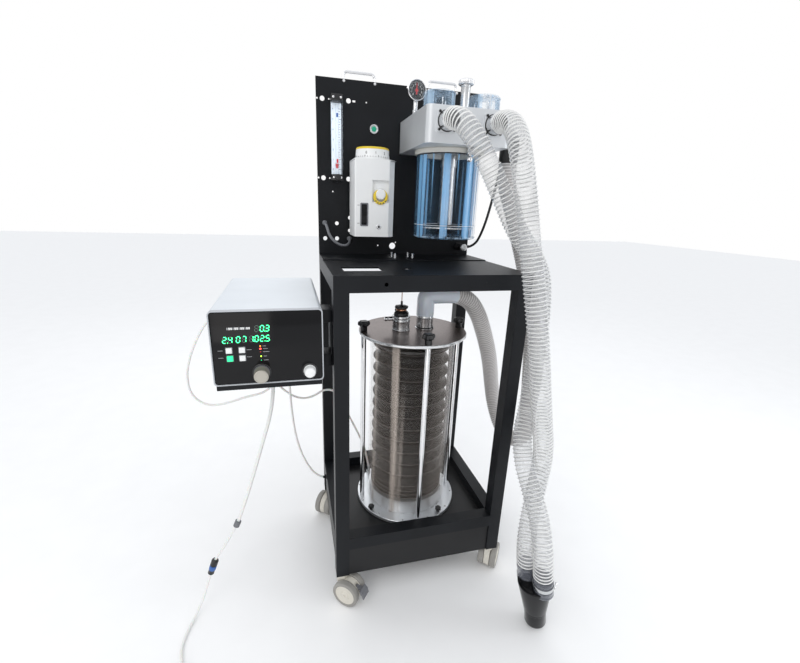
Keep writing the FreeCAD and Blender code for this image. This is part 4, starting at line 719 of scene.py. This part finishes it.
def make_head():
    for side, x in (("left", 44), ("right", 164)):
        frame_plate(f"port_flange_{side}",
                    (x - 25, PORT_Z - 25, x + 25, PORT_Z + 25),
                    [(0, 5), (0.5, 5), (4, 20.9), (5, 19.9)], 4, BLOCK_FRONT - 4, "cast",
                    replaced=("head_fittings",) if side == "left" else ())
        lathe(f"port_shadow_{side}", [(19, 3.6), (24, 3.6), (24, 4.8), (22.6, 5.4), (19, 5.4)],
              (x, BLOCK_FRONT, PORT_Z), -Y, "rubber", ease=0.3)
        lathe(f"port_sleeve_{side}", [(19, 0), (22, 0), (22.4, 8), (22.4, 26), (23.2, 27),
              (23.2, 30), (22, 31), (21.5, 35), (19, 35), (19, 0)], (x, BLOCK_FRONT, PORT_Z), -Y,
              "steel", ease=0.5)
        for i, (across, up) in enumerate(((-1, -1), (-1, 1), (1, -1), (1, 1))):
            lathe(f"port_screw_{side}_{i}", [(0.1, 0), (3.2, 0), (3.2, 1.8), (2.4, 2.6),
                  (1.5, 2.6), (1.5, 1.2), (0.1, 1.2)],
                  (x + 19 * across, BLOCK_FRONT - 4, PORT_Z + 19 * up), -Y, "black",
                  ease=0.3, steps=24)
        lathe(f"valve_seat_{side}", [(16, 0), (30, 0), (30, 2), (26, 3), (22, 8), (16, 8),
              (16, 0)], (x, 0, BLOCK_TOP), Z, "steel", ease=0.5)
        for i, angle in enumerate((30, 150, 270)):
            px, py = 24 * cos(radians(angle)), 24 * sin(radians(angle))
            lathe(f"valve_pin_{side}_{i}", [(0.1, 3), (1.5, 3), (1.5, 24), (0.8, 25), (0.1, 25)],
                  (x + px, py, BLOCK_TOP), Z, "chrome", steps=16)
        lathe(f"valve_dome_{side}", [(36, 0), (40, 0), (40, 5), (39, 6), (39, 32), (40, 33),
              (40, 36), (37, 39), (4, 39), (4, 35.5), (36, 35.5), (36, 0)], (x, 0, BLOCK_TOP), Z,
              "dome", replaced=("clear_covers",) if side == "left" else (), lobes=24,
              lobe_deep=0.6, steps=144)
        lathe(f"valve_ring_{side}", [(36, 0), (41, 0), (41, 3), (40.2, 4), (36, 4), (36, 0)],
              (x, 0, BLOCK_TOP), Z, "steel", ease=0.4)
    lathe("apl_column", [(0.1, 0), (15, 0), (15, 3), (11.5, 5), (11.5, 52), (12.5, 53),
          (12.5, 56), (3.2, 56), (3.2, 37), (0.1, 37)], (*APL, BLOCK_TOP), Z, "steel")
    lathe("apl_cap", [(0.1, -18), (3, -18), (3, 0.3), (16.5, 0.3), (19, 2), (19, 10),
          (17.5, 12.3), (0.1, 12.3)], (*APL, BLOCK_TOP + 56), Z, "chrome", "apl_knob",
          replaced=("apl_knob",), lobes=24, lobe_deep=0.8, steps=168, ease=1.0)
    for i, x in enumerate((111, 124)):
        block(f"latch_ear_{i}", (x, -45, 1186), (x + 3, -31, 1204), "steel", edge=0.8)
    pipe("side_elbow", [(206, 20, 1240), (232, 20, 1241), (257, 20, 1240), (258, 20, 1212),
                        (258, 20, 1178)], 50, "rubber", rounds=10)
    lathe("elbow_collar", [(20, 0), (26.5, 0), (26.5, 6), (25, 8), (20, 8), (20, 0)],
          (213.5, 20, 1240), X, "black")
    lathe("gas_inlet", [(0.1, 0), (8, 0), (8, 5), (5, 6), (4.2, 8), (5, 10), (4.2, 12),
          (0.1, 12)], (214, 66, 1232), X, "steel", ease=0.3)
    lathe("canister_ring", [(72, 0), (92, 0), (93, 2), (93, 10), (91, 12), (72, 12), (72, 0)],
          (*CANISTER, 1192), Z, "ring", steps=96)
    lathe("canister_seal", [(82, -2.5), (87.2, -2.5), (87.2, 0), (82, 0), (82, -2.5)],
          (*CANISTER, 1192), Z, "rubber", ease=0.4, steps=96)
    lathe("canister_core", [(17, 0), (20, 0), (20, 150), (22, 151), (22, 187), (20, 191),
          (17, 191), (17, 0)], (*CANISTER, 1013), Z, "steel")
    lathe("canister_screen", [(5, 0), (81, 0), (81, 3), (5, 3), (5, 0)], (*CANISTER, 1004), Z,
          "steel", ease=0.4, steps=96)
    lathe("canister_foot", [(60, 0), (83, 0), (86.8, 2.5), (86.8, 5), (85, 6), (60, 6), (60, 0)],
          (*CANISTER, 977.2), Z, "dome", ease=0.8, steps=96)
    lathe("canister_line", [(85.8, 0), (86.4, 0), (86.4, 1), (85.8, 1), (85.8, 0)],
          (*CANISTER, 1012), Z, "paper", ease=0.1, steps=96)


def make_gauge():
    x0, z0 = 4, 1340
    centre = (x0, 58, z0)
    lathe("gauge_rim", [(0.1, -22), (21, -22), (23.5, -20), (23.5, -4), (24.5, -3), (24.5, 0.5),
          (23.2, 1.2), (22, 0), (22, -6), (0.1, -6)], centre, -Y, "chrome",
          replaced=("gauge_case",), ease=0.5)
    lathe("gauge_face", [(0.1, -6), (22, -6), (22, -5.3), (0.1, -5.3)], centre, -Y, "gloss",
          ease=0.1)
    lathe("gauge_pane", [(0.1, -1.5), (22, -1.5), (22, -0.3), (0.1, 0.1)], centre, -Y, "pane",
          ease=0.2)
    lathe("gauge_stem", [(0.1, 0), (8, 0), (8, 8), (6, 10), (6, 34), (0.1, 34)],
          (4, 69, BLOCK_TOP), Z, "steel")
    for i in range(28):
        angle = radians(-135 + 10 * i)
        matrix = Matrix.Translation((x0, 63, z0)) @ Matrix.Rotation(angle, 4, "Y")
        long = 4.0 if i % 3 == 0 else 2.4
        block(f"gauge_mark_{i}", (-0.35, -0.2, 20.5 - long), (0.35, 0.2, 20.5), "paper",
              edge=0.08, matrix=matrix, segments=1)
    for i in range(10):
        angle = radians(-135 + 30 * i)
        text(f"gauge_figure_{i}", str(i), 6.2,
             (x0 + 13.4 * sin(angle), 63, z0 + 13.4 * cos(angle)), "paper")
    lathe("needle_hub", [(0.1, -8.5), (1, -8.5), (1, -5.2), (4.4, -5.2), (4.4, -4.2), (3, -3.4),
          (0.1, -3.2)], centre, -Y, "red", "gauge_needle",
          replaced=("gauge_needle",), ease=0.3, steps=32)
    verts = [at(x0 + x, y, z0 + z) for y in (62.0, 62.7)
             for x, z in ((-1.9, -9), (1.9, -9), (1.5, 0), (0.3, 18), (-0.3, 18), (-1.5, 0))]
    faces = [tuple(range(6)), tuple(range(11, 5, -1))]
    faces += [(i, i + 6, (i + 1) % 6 + 6, (i + 1) % 6) for i in range(6)]
    solid("needle_hand", verts, faces, ["red"], "gauge_needle")


# ---------------------------------------------------------------- bellows housing

def make_housing():
    x0, y0 = DRUM
    lathe("housing_plate", [(0.1, 0), (150.5, 0), (152, 1.5), (152, 6.5), (150.5, 8), (0.1, 8)],
          (x0, y0, LID_TOP - 8), Z, ["plate", "plate_edge"], replaced=("bellows_plate",),
          bands=[0, 1, 1, 1, 0], steps=128)
    lathe("base_rim", [(148, 0), (152.4, 0), (152.4, 2), (152.4, 3), (148, 3), (148, 0)],
          (x0, y0, 178), Z, "rubber", ease=0.4, steps=128)
    for i, name in enumerate(("right", "back", "left", "front")):
        angle = radians(90 * i)
        x, y = x0 + 140 * cos(angle), y0 + 140 * sin(angle)
        lathe(f"tie_rod_{name}", [(0.1, 0), (7, 0), (7, 529), (0.1, 529)], (x, y, DRUM_TOP), Z,
              "chrome", replaced=("tie_rods",) if i == 0 else (), ease=0.8, steps=32)
        lathe(f"hand_knob_{name}", [(0.1, 0), (9.5, 0), (9.5, 13), (14, 16), (17, 18), (17, 25),
              (15, 28), (9, 29), (0.1, 29.2)], (x, y, LID_TOP), Z, "black", lobes=6,
              lobe_deep=4.5, steps=96, ease=1.2)
    for i, (x, y) in enumerate([(-122, -77), (72, -126), (128, 71), (-66, 120)]):
        lathe(f"hold_down_{i}", [(0.1, 0), (5, 0), (5, 5), (9, 7), (9, 13), (7, 16), (0.1, 16.2)],
              (x, y, DRUM_TOP), Z, "black", lobes=8, lobe_deep=1.6, steps=96)
    for i in range(12):
        angle = radians(30 * i + 12)
        lathe(f"base_screw_{i}", [(0.1, 0), (3.2, 0), (3.2, 1.2), (1.8, 2.0), (1.8, 1.0),
              (0.1, 1.0)], (x0 + 145.5 * cos(angle), y0 + 145.5 * sin(angle), DRUM_TOP), Z,
              "steel", steps=20, ease=0.2)
    lathe("drive_barb", [(0.1, 0), (7, 0), (7, 6), (4.4, 7), (3.6, 10), (4.4, 12), (3.6, 16),
          (4.4, 18), (3.6, 23), (0.1, 24)], (-97, 104, DRUM_TOP), Z, "steel", ease=0.3)

    relief = (-33, -8, LID_TOP)
    lathe("relief_ring", [(15, 0), (25, 0), (25, 5), (24, 6), (24, 26), (25, 27), (25, 33),
          (23.6, 34), (23.6, 36), (25, 37), (25, 43), (15, 43), (15, 0)], relief, Z, "steel",
          ease=0.5)
    lathe("relief_spigot", [(0.1, -2), (6, -2), (6, 12), (5, 13), (5, 15), (6.4, 16), (6.4, 22),
          (5, 24), (0.1, 24)], (-57, -8, LID_TOP + 34), -X, "chrome", ease=0.5)
    lathe("relief_cap", [(0.1, 43), (20, 43), (21, 45), (21, 50), (18, 54), (13, 57), (13, 62),
          (19, 65), (19, 69), (17, 70), (3, 71), (3, 83), (0.1, 83)], relief, Z, "black", lobes=8,
          lobe_deep=1.4, steps=96)
    lathe("relief_band", [(13, 57.5), (14.4, 58), (14.4, 61.5), (13, 62), (13, 57.5)], relief, Z,
          "copper", ease=0.3)
    lathe("relief_wire", [(0.1, 0), (1.2, 0), (1.2, 99), (0.1, 99)], (-33, -8, LID_TOP + 83), Z,
          "copper", steps=16, ease=0.2)
    vent = (42, 8, LID_TOP)
    lathe("vent_collar", [(18, 0), (27, 0), (27, 2.2), (24, 3), (23.5, 4), (23.5, 30), (24.4, 31),
          (24.4, 33), (23.5, 34), (23.5, 40), (18, 40), (18, 0)], vent, Z, "steel", ease=0.4)
    lathe("vent_foot", [(23.4, 3.2), (25.2, 3.2), (25.2, 5.2), (23.4, 5.2), (23.4, 3.2)], vent, Z,
          "rubber", ease=0.3)
    pipe("vent_elbow", [(42, 8, 765), (42, 8, 792), (42, 8, 816), (52, 8, 822), (76, 8, 822),
                        (102, 8, 822), (134, 8, 822)], 50, "elbow", rounds=12)
    make_bellows()


def make_bellows():
    """Wide folds, closer together near the foot, each with a thin crest band in a lighter colour
    that is a painted highlight.
    """
    x0, y0 = DRUM
    low, high = 230.3, 689.7
    crests = [low + 7, low + 19, low + 32, low + 48]
    while crests[-1] + 39 < high:
        crests.append(crests[-1] + 37)
    profile = [(96, low), (104, low + 2)]
    for below, crest in zip([low] + crests, crests):
        half = (crest - below) / 2
        deep = min(half * 0.9, 13)
        if below > low:
            profile += [(109 - deep * sin(pi * k / 8) ** 0.7, below + half * k / 4)
                        for k in range(1, 8)]
        profile += [(109.0, crest - 0.8), (109.6, crest), (109.0, crest + 0.8)]
    profile += [(98, (crests[-1] + high) / 2), (104, high - 2), (96, high), (96, low)]
    # The outermost rims take the lighter material: a painted highlight on each crest.
    bands = [1 if min(a[0], b[0]) > 108.9 else 0 for a, b in zip(profile, profile[1:])]
    bellows = lathe("bellows_skin", profile, (x0, y0, 0), Z, ["fold", "crest"],
                    replaced=("bellows",), steps=112, bands=bands)
    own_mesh(bellows)


# ---------------------------------------------------------------- control unit

def make_unit():
    left, low, right, top, front = -495, 676, -263, 842, -201
    frame_plate("unit_bezel", (left, low, right, top), [(0, 9), (0.8, 9), (2.0, 7), (2.6, 7)],
                12, front, "bezel", ("unit_front",), edge=0.8)
    block("unit_pane", (left + 2.2, front + 2, low + 2.2), (right - 2.2, front + 11, top - 2.2),
          "gloss", edge=3.0)
    block("unit_foot_plate", (left + 4, front + 3, 664), (right - 4, front + 397, 676), "coat",
          edge=1.2)
    for name, low_z, high_z in (("lower", 696, 726), ("upper", 802, 832)):
        block(f"unit_bracket_{name}", (right, -170, low_z), (-240, -120, high_z), "coat",
              edge=1.5)
    block("unit_bracket_strap", (-244, -170, 696), (-240, -120, 832), "coat", edge=1.0)
    for i, (x, y) in enumerate([(-378, -95), (-345, 80), (-400, 112), (-372, 100)]):
        lathe(f"unit_barb_{i}", [(0.1, 0), (6.5, 0), (6.5, 4), (5.2, 5), (5.2, 13.5), (0.1, 14)],
              (x, y, 664), -Z, "steel", ease=0.4, steps=28)
    lathe("unit_barb_side", [(0.1, 0), (6, 0), (6, 3), (4.4, 4), (4.4, 14), (0.1, 14)],
          (left, 100, 765), -X, "steel", ease=0.4, steps=28)
    for i in range(14):
        z = 700 + i * 9
        block(f"unit_vent_{i}", (left - 0.2, 60, z), (left + 0.8, 150, z + 3.5), "ink", edge=0.3)

    flow_at, rate_at = (-396, GLASS_Y, 703), (-294, GLASS_Y, 701)
    knob = [(0.1, -12), (3, -12), (3, 0.3), (17, 0.3), (17, 3), (16, 5), (16, 24), (15, 27.5),
            (12.5, 28.3), (12, 27.8), (0.1, 27.8)]
    lathe("flow_dial", knob, flow_at, -Y, ["grey", "knob_face"], "flow_knob",
          replaced=("flow_knob",), bands=[0, 0, 0, 0, 0, 1, 1, 1, 1, 1], lobes=40, lobe_deep=0.5,
          steps=160)
    knob = [(0.1, -12), (3, -12), (3, 0.3), (14, 0.3), (14, 2), (12.5, 4), (12.5, 15), (11, 19),
            (6, 20.2), (0.1, 20.3)]
    lathe("rate_dial", knob, rate_at, -Y, "white", "rate_knob", replaced=("rate_knob",), lobes=24,
          lobe_deep=0.5, steps=144)
    # Black rings round the foot of both knobs paint the knobs' shadow on the glass.
    lathe("rate_knob_shadow_ring", [(14.6, 0), (17, 0), (17, 1.2), (15, 2.4), (14.6, 2.4)], rate_at, -Y,
          "black", ease=0.3)
    lathe("flow_knob_shadow_ring", [(17.6, 0), (20, 0), (20, 1.2), (18.2, 2.4), (17.6, 2.4)], flow_at, -Y,
          "black", ease=0.3)
    for name, x, z, key in (("key_power", -459, 756, "white"), ("key_mode", -433, 756, "white"),
                            ("key_run", -458, 738, "lamp_key"), ("key_mute", -433, 738, "white")):
        block(name + "_cap", (x - 6, GLASS_Y - 3, z - 6), (x + 6, GLASS_Y + 6, z + 6), key,
              body=name,
              replaced=(name,), edge=1.0, segments=3)
        frame_plate(name + "_frame", (x - 7.4, z - 7.4, x + 7.4, z + 7.4),
                    [(0, 1.5), (0.2, 1.5), (0.9, 1.0), (1.0, 1.0)], 0.7, GLASS_Y - 0.6, "grey",
                    edge=0.2)
    make_display()


SEGMENTS = {"0": "abcdef", "1": "bc", "2": "abged", "3": "abgcd", "4": "fgbc", "5": "afgcd",
            "7": "abc", "8": "abcdefg", " ": ""}
PLACES = {"a": (0, 1, 0), "g": (0, 0, 0), "d": (0, -1, 0), "f": (-1, 0.5, 1), "b": (1, 0.5, 1),
          "e": (-1, -0.5, 1), "c": (1, -0.5, 1)}


def digit(name, figure, x, z, high=13.0):
    """A seven-segment figure leaning slightly to the right, its unlit bars dim."""
    wide, thick = high * 0.52, 1.5
    for segment, (across, up, upright) in PLACES.items():
        lit = segment in SEGMENTS[figure]
        cx, cz = across * wide / 2, up * high / 2
        half_x = thick / 2 if upright else wide / 2 - 1.1
        half_z = high / 4 - 1.0 if upright else thick / 2
        lean = 0.12 * cz
        block(f"{name}_{segment}", (x + cx + lean - half_x, GLASS_Y - 0.5, z + cz - half_z),
              (x + cx + lean + half_x, GLASS_Y, z + cz + half_z), "lamp_green" if lit else "dim",
              edge=0.2, segments=1)


def dot(name, x, z, radius, material):
    lathe(name, [(0.1, 0), (radius, 0), (radius, 0.5), (0.1, 0.8)], (x, GLASS_Y, z), -Y, material,
          ease=0.2, steps=16)


def make_display():
    rows = [("8", -401, 802), ("0", -390, 802), ("3", -379.5, 802), ("2", -466, 779),
            ("4", -454.5, 779), ("0", -439, 779.5), ("7", -427, 779.5), ("1", -412.5, 780),
            ("0", -402, 780), ("2", -391, 780), ("5", -379.5, 780)]
    for i, (figure, x, z) in enumerate(rows):
        digit(f"figure_{i}", " " if i == 0 else figure, x, z)
    for i, (x, z) in enumerate(((-384.6, 796), (-460.4, 773), (-407.5, 774), (-385.4, 774))):
        dot(f"point_{i}", x, z, 0.9, "lamp_green")
    for i in range(12):
        block(f"bar_{i}", (-460 + i * 3.9, GLASS_Y - 0.4, 801), (-457.2 + i * 3.9, GLASS_Y, 806),
              "paper" if i % 3 else "print", edge=0.2, segments=1)
    for i, (x, z, radius, key) in enumerate(((-396, 763, 1.4, "lamp_orange"),
                                             (-396, 757, 2.0, "lamp_red"), (-396, 750, 1.2, "red"),
                                             (-395.5, 740, 1.6, "lamp_lime"),
                                             (-395.5, 731, 1.0, "lamp_key"))):
        dot(f"signal_{i}", x, z, radius, key)
        block(f"signal_note_{i}", (x + 5, GLASS_Y - 0.2, z - 0.6),
              (x + 12 + 3 * (i % 3), GLASS_Y + 0.1, z + 0.6), "print", edge=0.1, segments=1)
    for i, (x, z) in enumerate(((-476, 756), (-476, 740), (-419, 756), (-419, 740))):
        block(f"key_note_{i}", (x - 5, GLASS_Y - 0.2, z - 0.6), (x + 5, GLASS_Y + 0.1, z + 0.6),
              "print", edge=0.1, segments=1)


# ---------------------------------------------------------------- casters

def make_casters():
    yaws = {"front_left": (-222.5, -182.5, 52), "front_right": (222.5, -182.5, 140),
            "rear_left": (-222.5, 182.5, -35), "rear_right": (222.5, 182.5, 20)}
    tyre = [(28.5, 1.2), (31, 0.4), (35, 0.2), (37.1, 2), (37.5, 4), (37.5, 14), (37.1, 16),
            (35, 17.8), (31, 17.6), (28.5, 16.8), (28.5, 1.2)]
    disc = [(3.1, 1), (28.5, 1), (28.5, 16.8), (26.5, 16.6), (25, 15), (14, 13.6), (11, 15.4),
            (10, 17.6), (6, 18), (3.1, 18), (3.1, 1)]
    for name, (x, y, yaw) in yaws.items():
        turn = Matrix.Rotation(radians(yaw), 3, "Z")
        body = f"caster_wheels_{name}"
        for side, sign in (("a", 1), ("b", -1)):
            where = Vector((x, y, 0)) + turn @ Vector((9 * sign, -22, 37.5))
            lathe(f"tyre_{side}_{name}", tyre, where, X * sign, "tyre", body=body,
                  replaced=(body,) if side == "a" else (), turn=turn, steps=72, ease=0.6)
            lathe(f"disc_{side}_{name}", disc, where, X * sign, "cream", body=body, turn=turn,
                  steps=60, ease=1.0)


make_camera()
make_hoses(make_y_piece())
make_tubes()
make_cart()
make_panel_fittings()
make_flowmeter()
make_vaporizer()
make_head()
make_gauge()
make_housing()
make_unit()
make_casters()
make_studio()
